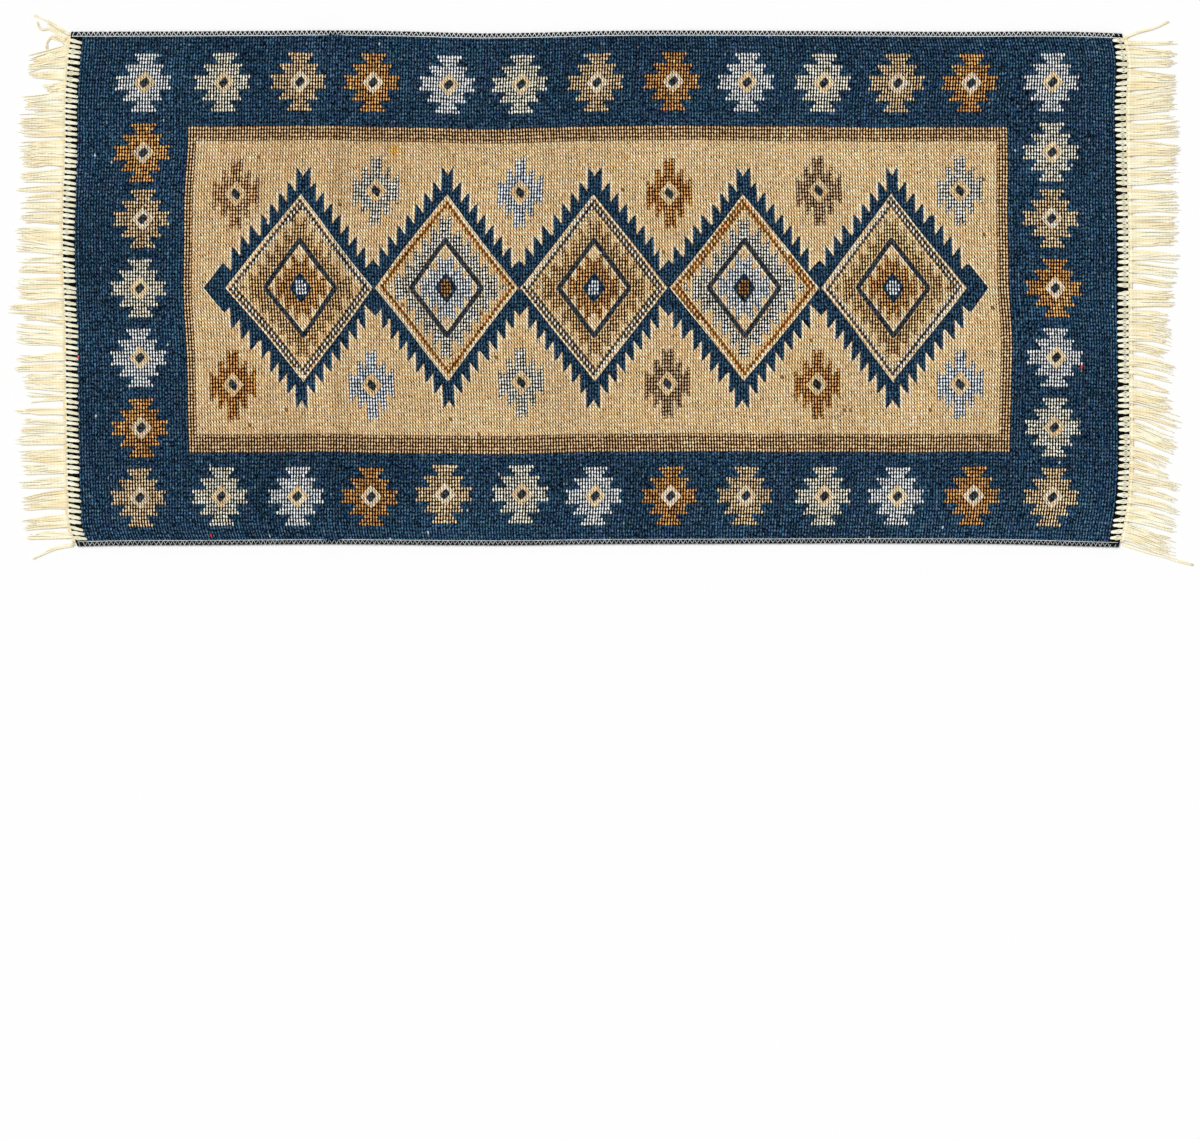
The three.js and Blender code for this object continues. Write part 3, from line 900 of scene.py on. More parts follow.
@dataclass
class YarnColours:
    """Colours of every weave cell of one face, with the unevenness of real yarn.

    Attributes:
        chart: what is woven where.
        yarns: the yarn of each ink on this face.
        seed: the seed of this face's unevenness.
    """

    chart: Chart
    yarns: dict[Ink, Yarn]
    seed: int

    def cells(self, woven: Array, extra: int = 0) -> dict[str, Array]:
        """Works out the colours of the float, the gap and the slot in each cell.

        Args:
            woven: the number of the ink in each cell, by pick and warp.
            extra: what is added to the seed.

        Returns:
            Arrays of linear RGB and a size factor, by pick and warp, for float, gap and slot.
        """
        rng = np.random.default_rng(self.seed + extra)
        shape = woven.shape
        top, gap, slot = (np.zeros(shape + (4,)) for _ in range(3))
        spread = np.zeros(shape)
        for ink, yarn in self.yarns.items():
            here = woven == ink.value
            top[here] = (*yarn.top, yarn.wide)
            gap[here] = (*yarn.gap, yarn.tall)
            slot[here] = (*yarn.slot, yarn.run)
            spread[here] = yarn.spread
        striped = np.isin(woven, [ink.value for ink in STRIPED])
        soft = self.chart.soft & striped
        slot[soft, :3] += SOFT_SLOT * (gap[soft, :3] - slot[soft, :3])
        top[soft, 3] *= 1.1
        top[striped & ~soft, 3] *= 0.96
        ribs = blurred(rng.normal(size=shape), 0, 3.5)
        picks = blurred(rng.normal(size=shape), 0, 30)
        patches = blurred(rng.normal(size=shape), 10, 9)
        grain = rng.normal(size=shape)
        light = 1 + spread * (0.35 * ribs + 0.25 * picks + 0.25 * patches + 0.7 * grain)
        near = (1 - smooth_steps(-300, -190, self.chart.y)) * (woven == Ink.GROUND.value)
        broad = 1 + 0.035 * smooth_steps(-480, 480, self.chart.x) + 0.09 * near
        top[..., :3] *= (light * broad)[..., None]
        gap[..., :3] *= ((1 + spread * (0.5 * ribs + 0.4 * patches)) * broad)[..., None]
        self.tint(rng, top, gap, woven)
        top[..., 3] *= 1 + 0.08 * rng.normal(size=shape)
        gap[..., 3] *= 1 + 0.08 * rng.normal(size=shape)
        slot[..., :3] *= (1 + 0.35 * rng.normal(size=shape)).clip(0.3, 2.0)[..., None]
        for colours in (top, gap, slot):
            colours[..., :3] = linear(np.clip(colours[..., :3], 2, 255))
        return {"float": top, "gap": gap, "slot": slot}

    def tint(
        self, rng: np.random.Generator, top: Array, gap: Array, woven: Array
    ) -> None:
        """Shifts the hue of dark and light yarns and drops in flecks of other yarn.

        Args:
            rng: the source of unevenness.
            top: the floats' colours, changed in place.
            gap: the gaps' colours, changed in place.
            woven: the number of the ink in each cell.
        """
        shape = top.shape[:2]
        dark = top[..., :3].mean(axis=-1) < DARK_YARN_BELOW
        hue = 0.5 * blurred(rng.normal(size=shape), 0, 5) + 0.6 * rng.normal(size=shape)
        warm = 0.5 * blurred(rng.normal(size=shape), 0.6, 3) + 0.6 * rng.normal(size=shape)
        cool = np.stack([4 * warm, 3 * hue, 4 * np.abs(hue) - 2], axis=-1)
        sandy = np.stack([2.5 * warm, 3.5 * hue, 8.0 * hue], axis=-1)
        shift = np.where(dark[..., None], cool, sandy)
        top[..., :3] += shift
        gap[..., :3] += 0.6 * shift
        chance = rng.random(shape)
        plain = (woven == Ink.FIELD.value) | (woven == Ink.GROUND.value)
        fleck = dark & plain & (chance < DULL_BELOW)
        top[fleck, :3] = top[fleck, :3] * 0.5 + np.array(DULL_FLECK) * 0.5
        top[dark & plain & (chance > BRIGHT_ABOVE), :3] = BRIGHT_FLECK
        sand = ~dark & plain
        top[sand & (chance < WHITE_BELOW), :3] = WHITE_FLECK
        gap[sand & (chance > AMBER_ABOVE), :3] = AMBER_GAP
        gap[sand & (chance > WHITE_BELOW) & (chance < ROSY_BELOW), :3] = ROSY_GAP
        away = np.hypot(self.chart.x - STAIN_AT[0], self.chart.y - STAIN_AT[1]) / STAIN_REACH
        stain = (np.exp(-(away**2)) * sand)[..., None] * np.array(STAIN_TINT)
        top[..., :3] *= 1 - stain
        gap[..., :3] *= 1 - stain
        knot = sand & (chance > ROSY_BELOW) & (chance < KNOT_BELOW)
        top[knot, :3] = KNOT_FLOAT
        gap[knot, :3] = KNOT_GAP


class Nodes:
    """Short way to build a material's nodes."""

    def __init__(self, name: str) -> None:
        self.material = bpy.data.materials.new(name)
        self.material.use_nodes = True
        self.tree = self.material.node_tree
        self.tree.nodes.clear()
        self.shader = self.tree.nodes.new("ShaderNodeBsdfPrincipled")
        output = self.tree.nodes.new("ShaderNodeOutputMaterial")
        self.tree.links.new(self.shader.outputs[0], output.inputs[0])

    def add(self, kind: str, **settings: object) -> bpy.types.Node:
        """Adds a node and sets its own settings."""
        node = self.tree.nodes.new(kind)
        for key, value in settings.items():
            setattr(node, key, value)
        return node

    def feed(self, socket: Socket, value: object) -> None:
        """Links a socket to another one, or sets its value."""
        if isinstance(value, Socket):
            self.tree.links.new(value, socket)
        elif value is not None:
            socket.default_value = value

    def maths(self, operation: str, *values: object, clamp: bool = False) -> Socket:
        """Adds a number operation and returns its result."""
        node = self.add("ShaderNodeMath", operation=operation, use_clamp=clamp)
        for socket, value in zip(node.inputs, values):
            self.feed(socket, value)
        return node.outputs[0]

    def times(self, a: object, b: object, clamp: bool = False) -> Socket:
        """Multiplies two numbers."""
        return self.maths("MULTIPLY", a, b, clamp=clamp)

    def plus(self, a: object, b: object) -> Socket:
        """Adds two numbers."""
        return self.maths("ADD", a, b)

    def minus(self, a: object, b: object) -> Socket:
        """Takes the second number from the first."""
        return self.maths("SUBTRACT", a, b)

    def vector(self, operation: str, *values: object) -> Socket:
        """Adds a vector operation and returns its result."""
        node = self.add("ShaderNodeVectorMath", operation=operation)
        for socket, value in zip(node.inputs, values):
            self.feed(socket, value)
        return node.outputs[0]

    def xyz(self, vector: Socket) -> Sequence:
        """Splits a vector into its three numbers."""
        node = self.add("ShaderNodeSeparateXYZ")
        self.feed(node.inputs[0], vector)
        return node.outputs

    def ramp(
        self, value: object, low: float, high: float, to: tuple[float, float] = (0.0, 1.0)
    ) -> Socket:
        """Maps a range of numbers softly onto another one."""
        node = self.add("ShaderNodeMapRange", interpolation_type="SMOOTHSTEP")
        for socket, part in zip(node.inputs, (value, low, high, to[0], to[1])):
            self.feed(socket, part)
        return node.outputs[0]

    def noise(self, vector: object, scale: float, detail: float = 2.0) -> Socket:
        """Adds a noise texture and returns its factor."""
        node = self.add("ShaderNodeTexNoise")
        self.feed(node.inputs["Vector"], vector)
        node.inputs["Scale"].default_value = scale
        node.inputs["Detail"].default_value = detail
        return node.outputs["Fac"]

    def mix(self, factor: object, a: object, b: object, blend: str = "MIX") -> Socket:
        """Mixes two colours and returns the result."""
        node = self.add("ShaderNodeMix", data_type="RGBA", blend_type=blend)
        self.feed(node.inputs[0], factor)
        self.feed(node.inputs[6], a)
        self.feed(node.inputs[7], b)
        return node.outputs[2]

    def blend(self, factor: object, a: object, b: object) -> Socket:
        """Mixes two numbers and returns the result."""
        node = self.add("ShaderNodeMix", data_type="FLOAT")
        self.feed(node.inputs[0], factor)
        self.feed(node.inputs[2], a)
        self.feed(node.inputs[3], b)
        return node.outputs[0]

    def brightness(self, colour: Socket) -> Socket:
        """Returns how bright a colour is."""
        node = self.add("ShaderNodeRGBToBW")
        self.feed(node.inputs[0], colour)
        return node.outputs[0]

    def attribute(self, name: str) -> bpy.types.Node:
        """Adds a reader of one of the mesh's own attributes."""
        return self.add("ShaderNodeAttribute", attribute_name=name)

    def finish(self, colour: object, height: object, depth: float, strength: float) -> Material:
        """Sets the cotton shader's inputs.

        Args:
            colour: the base colour.
            height: what the bump reads.
            depth: the bump's depth, in metres.
            strength: the bump's strength.

        Returns:
            The material.
        """
        bump = self.add("ShaderNodeBump")
        bump.inputs["Strength"].default_value = strength
        bump.inputs["Distance"].default_value = depth
        self.feed(bump.inputs["Height"], height)
        self.feed(self.shader.inputs["Base Color"], colour)
        self.feed(self.shader.inputs["Normal"], bump.outputs[0])
        self.shader.inputs["Roughness"].default_value = 0.92
        self.shader.inputs["Specular IOR Level"].default_value = 0.03
        return self.material


# How the shader draws the weave. An edge is a pair of values between which a mask changes softly,
# and shades are the darkest and the lightest factor.
RAG_SCALE = 420.0
RAG_MM = 1.6
OUTLINE_RAG = 0.035
BLUNT_RAG = 0.02
EYE_RAG = 0.08
SOFT_EDGE = 0.008
SOLID_EDGE = (-0.25, 0.25)
EYE_POWER = 1.06
EYE_EDGE = (1.04, 0.96)
HOLE_POWER = 1.25
HOLE_EDGE = (1.08, 0.92)
HEART_EDGE = (1.4, 1.6)
RIM_REACH = (0.1, 1.7)
RIM_SHADES = (0.45, 1.0)
LINE_SHADE = 0.72
LIGHT_YARN = (0.06, 0.3)
DARK_YARN = (0.06, 0.25)
DRIFT_SCALE = (0.55, 0.4, 1.0)
DRIFT_REACH = (0.7, 0.55, 0.0)
LOOSE_FROM = 1.1
LOOSE_LEAN = 0.5
LEAN_MIDDLE = 0.4
LEAN_SPREAD = 0.22
PLUMP = (0.84, 1.14)
FLOAT_HALF = (0.28, 0.36)
FLOAT_EDGE = (1.15, 0.8)
FLOAT_DRIFT = 0.16
SLOT_SPREAD = 0.1
SLOT_EDGE = (0.29, 0.1)
SLOT_DEPTHS = (0.3, 1.15)
ROW_EDGE = (0.2, 0.48)
LINK_EDGE = (0.24, 0.04)
WOOL_SCALE = (640.0, 380.0, 400.0)
WOOL_SHADES = (0.03, 2.4)
FIBRE_SCALE = (2600.0, 700.0, 1500.0)
FIBRE_SHADES = (0.86, 1.12)
BROAD_SCALE = 7.0
BROAD_SHADES = (0.965, 1.03)
NOISE_RANGE = (0.3, 0.7)
BUMP_FIBRES = 0.25
BUMP_SLOT = 0.4
CLOTH_BUMP = (0.0007, 0.55)
THREAD_BUMP = (0.0002, 0.5)
PLY_SHADOW = 0.18


def rhomb(n: Nodes, along: object, across: object, power: float) -> Socket:
    """Gives how far out a place lies in a rhomb with softened corners, 1 at its edge.

    Args:
        n: the material's nodes.
        along: the place along, in half sizes of the rhomb.
        across: the place across, in half sizes of the rhomb.
        power: 1 for straight sides, 2 for an oval.

    Returns:
        The distance from the middle.
    """
    parts = []
    for value in (along, across):
        parts.append(n.maths("POWER", n.maths("ABSOLUTE", value), power))
    return n.maths("POWER", n.plus(*parts), 1.0 / power)


@dataclass
class Motifs:
    """Masks of what the shader draws across the weave cells.

    Attributes:
        solid: borders, outlines, hearts and the eyes' holes.
        ring: the eyes with their rings.
        line: the diamonds' inner outlines and the eyes' holes, which are greyer.
        rim: how bright the solid yarn is, less along a shape's own edge.
    """

    solid: Socket
    ring: Socket
    line: Socket
    rim: Socket


def motif_masks(n: Nodes, rag: Socket) -> Motifs:
    """Builds the masks of the solid shapes and of the eyes' rings.

    Args:
        n: the material's nodes.
        rag: a small noise that roughens the edges, in millimetres.

    Returns:
        The masks.
    """
    depth = n.plus(n.attribute("solid_depth").outputs["Fac"], rag)
    solid = n.ramp(depth, *SOLID_EDGE)
    line = n.xyz(n.attribute("outline").outputs["Vector"])
    ring = rhomb(n, line[0], line[1], 1.0)
    ring = n.plus(ring, n.times(rag, OUTLINE_RAG))
    within = n.ramp(ring, OUTLINE_OUTSIDE + SOFT_EDGE, OUTLINE_OUTSIDE - SOFT_EDGE)
    beyond = n.ramp(ring, OUTLINE_INSIDE - SOFT_EDGE, OUTLINE_INSIDE + SOFT_EDGE)
    for axis in (0, 1):
        out = n.plus(n.maths("ABSOLUTE", line[axis]), n.times(rag, BLUNT_RAG))
        short = n.ramp(out, OUTLINE_BLUNT + SOFT_EDGE, OUTLINE_BLUNT - SOFT_EDGE)
        within = n.times(within, short)
    eye = n.xyz(n.attribute("eye").outputs["Vector"])
    ragged = n.times(rag, EYE_RAG)
    out = n.plus(rhomb(n, eye[0], eye[1], EYE_POWER), ragged)
    eye_mask = n.ramp(out, *EYE_EDGE)
    leant = n.plus(eye[0], n.times(eye[1], eye[2]))
    hole_x = n.maths("DIVIDE", leant, EYE_HOLE[0])
    hole_y = n.maths("DIVIDE", eye[1], EYE_HOLE[1])
    hole = n.ramp(n.plus(rhomb(n, hole_x, hole_y, HOLE_POWER), ragged), *HOLE_EDGE)
    heart = n.ramp(eye[2], *HEART_EDGE)
    hole = n.times(n.maths("MAXIMUM", hole, heart), eye_mask)
    line_mask = n.times(within, beyond)
    deep = n.ramp(depth, *RIM_REACH, RIM_SHADES)
    deep = n.blend(n.times(solid, n.minus(1.0, line_mask)), LINE_SHADE, deep)
    solid = n.maths("MAXIMUM", n.maths("MAXIMUM", solid, line_mask), hole)
    pupil = n.times(hole, n.minus(1.0, heart))
    return Motifs(solid, eye_mask, n.maths("MAXIMUM", line_mask, pupil), n.blend(solid, 1.0, deep))


def cloth_material(name: str, solid: Yarn, outline: Yarn) -> Material:
    """Makes the woven cotton: an oval float in each cell, slots between picks, gaps and fibres.

    Args:
        name: the material's name.
        solid: the yarn of what is woven solid.
        outline: the yarn of the diamonds' inner outlines.

    Returns:
        The material.
    """
    n = Nodes(name)
    uv = n.add("ShaderNodeUVMap", uv_map="OFBake").outputs[0]
    place = n.add("ShaderNodeTexCoord").outputs["Object"]
    rag = n.times(n.minus(n.noise(place, RAG_SCALE, 1.0), 0.5), RAG_MM)
    masks = motif_masks(n, rag)
    colours, sizes = {}, {}
    drawn = outline.parts()
    for part, (plain, size) in solid.parts().items():
        base, over = n.attribute(part + "_yarn"), n.attribute(part + "_ring")
        mixed = n.mix(masks.ring, base.outputs["Color"], over.outputs["Color"])
        mixed = n.mix(masks.solid, mixed, rgba(plain))
        colours[part] = n.mix(masks.line, mixed, rgba(drawn[part][0]))
        mixed = n.blend(masks.ring, base.outputs["Alpha"], over.outputs["Alpha"])
        sizes[part] = n.blend(masks.solid, mixed, size)
    light = n.ramp(n.brightness(colours["gap"]), *LIGHT_YARN)
    cells = n.vector("MULTIPLY", uv, (PICKS, WARPS, 1.0))
    drift = n.add("ShaderNodeTexNoise")
    n.feed(drift.inputs["Vector"], n.vector("MULTIPLY", cells, DRIFT_SCALE))
    drift = n.vector("SUBTRACT", drift.outputs["Color"], (0.5, 0.5, 0.5))
    cells = n.vector("ADD", cells, n.vector("MULTIPLY", drift, DRIFT_REACH))
    own = n.add("ShaderNodeTexWhiteNoise")
    n.feed(own.inputs["Vector"], n.vector("FLOOR", cells))
    chance = n.xyz(own.outputs["Color"])
    split = n.xyz(cells)
    down = n.minus(n.maths("FRACT", split[1]), 0.5)
    loose = n.minus(LOOSE_FROM, sizes["slot"])
    lean = n.times(n.times(light, loose), LOOSE_LEAN)
    lean = n.plus(lean, n.times(n.minus(chance[0], LEAN_MIDDLE), LEAN_SPREAD))
    slanted = n.plus(split[0], n.times(down, lean))
    side = n.minus(n.maths("FRACT", slanted), 0.5)
    plump = n.ramp(chance[1], 0.0, 1.0, PLUMP)
    wide = n.maths("DIVIDE", side, n.times(n.times(sizes["float"], plump), FLOAT_HALF[0]))
    lifted = n.plus(down, n.times(n.minus(chance[2], 0.5), FLOAT_DRIFT))
    tall = n.maths("DIVIDE", lifted, n.times(sizes["gap"], FLOAT_HALF[1]))
    dot = n.ramp(rhomb(n, wide, tall, 2.0), *FLOAT_EDGE)
    apart = n.minus(0.5, n.maths("ABSOLUTE", side))
    wider = n.minus(apart, n.times(sizes["slot"], SLOT_SPREAD))
    slot = n.ramp(wider, *SLOT_EDGE)
    between = n.ramp(n.maths("ABSOLUTE", down), *ROW_EDGE)
    kept = n.plus(n.times(n.minus(sizes["slot"], 1.0), between), 1.0)
    deep = n.blend(sizes["slot"], n.ramp(chance[2], 0.1, 0.9, SLOT_DEPTHS), 1.0)
    slot = n.times(n.times(slot, kept), deep, clamp=True)
    across = n.minus(n.maths("FRACT", n.plus(split[0], down)), 0.5)
    link = n.ramp(n.maths("ABSOLUTE", across), *LINK_EDGE)
    link = n.times(n.times(link, light), n.minus(1.0, sizes["slot"]))
    colour = n.mix(link, colours["gap"], colours["float"])
    # The slot colour paints shade into the groove beside each float, over the yarn there.
    colour = n.mix(slot, colour, colours["slot"])
    colour = n.mix(dot, colour, colours["float"])
    dark = n.ramp(n.brightness(colours["float"]), *DARK_YARN, (1.0, 0.0))
    wool = n.noise(n.vector("MULTIPLY", place, WOOL_SCALE), 1.0, 2.0)
    strong = n.ramp(wool, 0.35, 0.65, WOOL_SHADES)
    fibres = n.noise(n.vector("MULTIPLY", place, FIBRE_SCALE), 1.0, 3.0)
    fine = n.ramp(fibres, *NOISE_RANGE, FIBRE_SHADES)
    broad = n.ramp(n.noise(place, BROAD_SCALE, 3.0), *NOISE_RANGE, BROAD_SHADES)
    shade = n.times(n.times(fine, broad), n.blend(dark, 1.0, strong))
    shade = n.times(shade, masks.rim)
    tone = n.add("ShaderNodeCombineColor")
    for socket in tone.inputs:
        n.feed(socket, shade)
    colour = n.mix(1.0, colour, tone.outputs[0], "MULTIPLY")
    height = n.plus(dot, n.times(fibres, BUMP_FIBRES))
    height = n.minus(height, n.times(slot, BUMP_SLOT))
    return n.finish(colour, height, *CLOTH_BUMP)


@dataclass(frozen=True)
class ThreadFinish:
    """Look of a cotton thread.

    Attributes:
        pale: sRGB colour of its light places.
        deep: sRGB colour of its dark places.
        streaks: how finely light and dark alternate along a bundle, per metre.
        ply_mm: how far the plies run for one turn.
    """

    pale: tuple[int, int, int]
    deep: tuple[int, int, int]
    streaks: tuple[float, float, float] = (18.0, 260.0, 200.0)
    ply_mm: float = 4.0


FRINGE_COTTON = ThreadFinish((255, 253, 232), (246, 227, 180))
HEADING_COTTON = ThreadFinish((254, 240, 204), (240, 216, 164), (260.0, 200.0, 200.0), 3.0)
STITCH_COTTON = ThreadFinish((255, 253, 232), (228, 222, 190), (120.0, 120.0, 120.0), 3.0)
FAR_THREAD = ThreadFinish((255, 255, 254), (234, 238, 236), (160.0, 160.0, 160.0), 1.6)
NEAR_THREAD = ThreadFinish((250, 252, 250), (172, 180, 182), (160.0, 160.0, 160.0), 1.6)
OUTER_THREAD = ThreadFinish((176, 178, 170), (16, 18, 20), (420.0, 420.0, 420.0), 1.6)
CASING_YARN = ThreadFinish((30, 40, 50), (4, 8, 12), (500.0, 500.0, 500.0), 2.0)


def thread_material(name: str, finish: ThreadFinish) -> Material:
    """Makes plied cotton thread.

    Args:
        name: the material's name.
        finish: its look.

    Returns:
        The material.
    """
    n = Nodes(name)
    place = n.add("ShaderNodeTexCoord").outputs["Object"]
    streaks = n.noise(n.vector("MULTIPLY", place, finish.streaks), 1.0, 3.0)
    tone = n.attribute("tone").outputs["Fac"]
    level = n.plus(n.ramp(streaks, *NOISE_RANGE, (0.0, 0.75)), n.times(tone, 0.4))
    pale, deep = rgba(finish.pale), rgba(finish.deep)
    colour = n.mix(n.maths("MINIMUM", level, 1.0), deep, pale)
    thread = n.xyz(n.add("ShaderNodeUVMap", uv_map="Thread").outputs[0])
    turn = n.times(thread[1], 2 * math.pi / (finish.ply_mm * MM))
    around = n.times(thread[0], 4 * math.pi)
    plies = n.maths("SINE", n.plus(around, turn))
    shadow = n.times(n.ramp(plies, -1.0, -0.3, (1.0, 0.0)), PLY_SHADOW)
    colour = n.mix(shadow, colour, deep)
    fuzz = n.noise(place, 2400.0, 2.0)
    height = n.plus(n.times(plies, 0.5), fuzz)
    return n.finish(colour, height, *THREAD_BUMP)


def add_object(name: str, mesh: Mesh) -> Object:
    """Adds a mesh to the scene at the origin.

    Args:
        name: the new object's name.
        mesh: its mesh.

    Returns:
        The new object.
    """
    made = bpy.data.objects.new(name, mesh)
    bpy.context.scene.collection.objects.link(made)
    return made


def grid_mesh(name: str, along: int, across: int) -> Mesh:
    """Makes a flat grid from -1 to 1, as a mesh.

    Args:
        name: the mesh's name.
        along: how many cells it has along X.
        across: how many cells it has along Y.

    Returns:
        The mesh.
    """
    bm = bmesh.new()
    bmesh.ops.create_grid(bm, x_segments=along, y_segments=across, size=1.0)
    mesh = bpy.data.meshes.new(name)
    bm.to_mesh(mesh)
    bm.free()
    return mesh


def read_points(mesh: Mesh) -> Array:
    """Reads a mesh's vertices as an array of rows."""
    flat = np.empty(len(mesh.vertices) * 3)
    mesh.vertices.foreach_get("co", flat)
    return flat.reshape(-1, 3)


def write_points(mesh: Mesh, points: Array) -> None:
    """Writes an array of rows into a mesh's vertices."""
    mesh.vertices.foreach_set("co", np.ascontiguousarray(points).ravel())
    mesh.update()


def corner_vertices(mesh: Mesh) -> Array:
    """Reads which vertex each corner of a mesh's faces uses."""
    corners = np.empty(len(mesh.loops), dtype=np.int32)
    mesh.loops.foreach_get("vertex_index", corners)
    return corners


class ClothFace:
    """One face of the double cloth, a sheet with a quad for each weave cell."""

    def __init__(self, name: str, colours: YarnColours, upper: bool, material: Material) -> None:
        self.name = name
        self.colours = colours
        self.upper = upper
        self.material = material

    def build(self) -> Object:
        """Builds the sheet.

        Returns:
            The finished object.
        """
        mesh = grid_mesh(self.name, PICKS, WARPS)
        uv = (read_points(mesh)[:, :2] + 1) / 2
        x, y = plan(uv[:, 0], uv[:, 1])
        self.write_uv(mesh, uv)
        self.write_colours(mesh, uv)
        self.write_motifs(mesh, uv, y)
        write_points(mesh, np.stack([x, y, self.height(uv, x, y)], axis=-1) * MM)
        if not self.upper:
            mesh.flip_normals()
        mesh.shade_smooth()
        mesh.materials.append(self.material)
        return add_object(self.name, mesh)

    def height(self, uv: Array, x: Array, y: Array) -> Array:
        """Gives the height of the face, squeezed where its edges are bound."""
        side = np.minimum(uv[:, 0], 1 - uv[:, 0]) * PICKS * PICK_MM
        edge = np.minimum(uv[:, 1], 1 - uv[:, 1]) * WARPS * WARP_MM
        bound = smooth_steps(*SQUEEZE_ENDS_MM, side)
        bound = np.minimum(bound, smooth_steps(*SQUEEZE_SIDES_MM, edge))
        lift = relief(x, y)
        if self.upper:
            swell = CLOTH_TOP_MM - FACE_INSET_MM - SQUEEZED_HIGH_MM
            return SQUEEZED_HIGH_MM + swell * bound + lift * bound
        return SQUEEZED_LOW_MM * (1 - bound) + (FACE_INSET_MM + lift) * bound

    def write_uv(self, mesh: Mesh, uv: Array) -> None:
        """Lays the weave's own square out as the sheet's UV map."""
        corners = corner_vertices(mesh)
        layer = mesh.uv_layers.new(name="OFBake")
        layer.data.foreach_set("uv", uv[corners].ravel())

    def write_colours(self, mesh: Mesh, uv: Array) -> None:
        """Gives each cell its yarn colours as face attributes, and those of the eyes' rings."""
        corners = corner_vertices(mesh)
        middle = uv[corners].reshape(-1, 4, 2).mean(axis=1)
        pick = np.floor(middle[:, 0] * PICKS).astype(int)
        warp = np.floor(middle[:, 1] * WARPS).astype(int)
        chart = self.colours.chart
        for end, woven, extra in (("_yarn", chart.cells, 0), ("_ring", chart.rings, 100)):
            for part, colours in self.colours.cells(woven, extra).items():
                layer = mesh.attributes.new(part + end, "FLOAT_COLOR", "FACE")
                layer.data.foreach_set("color", colours[pick, warp].astype(np.float32).ravel())

    def write_motifs(self, mesh: Mesh, uv: Array, y: Array) -> None:
        """Writes at each cell's corners where they lie against the solid shapes and the eyes."""
        corners = corner_vertices(mesh)
        x, y = straight(uv[corners, 0]), y[corners]
        cell_x = np.repeat(x.reshape(-1, 4).mean(axis=1), 4)
        cell_y = np.repeat(y.reshape(-1, 4).mean(axis=1), 4)
        spots = Spots(x, y, cell_x, cell_y)
        chart = self.colours.chart
        layer = mesh.attributes.new("solid_depth", "FLOAT", "CORNER")
        layer.data.foreach_set("value", teeth_depth(spots).astype(np.float32))
        for name, values in (("outline", chart.outline(spots)), ("eye", chart.eye(spots))):
            layer = mesh.attributes.new(name, "FLOAT_VECTOR", "CORNER")
            layer.data.foreach_set("vector", values.astype(np.float32).ravel())


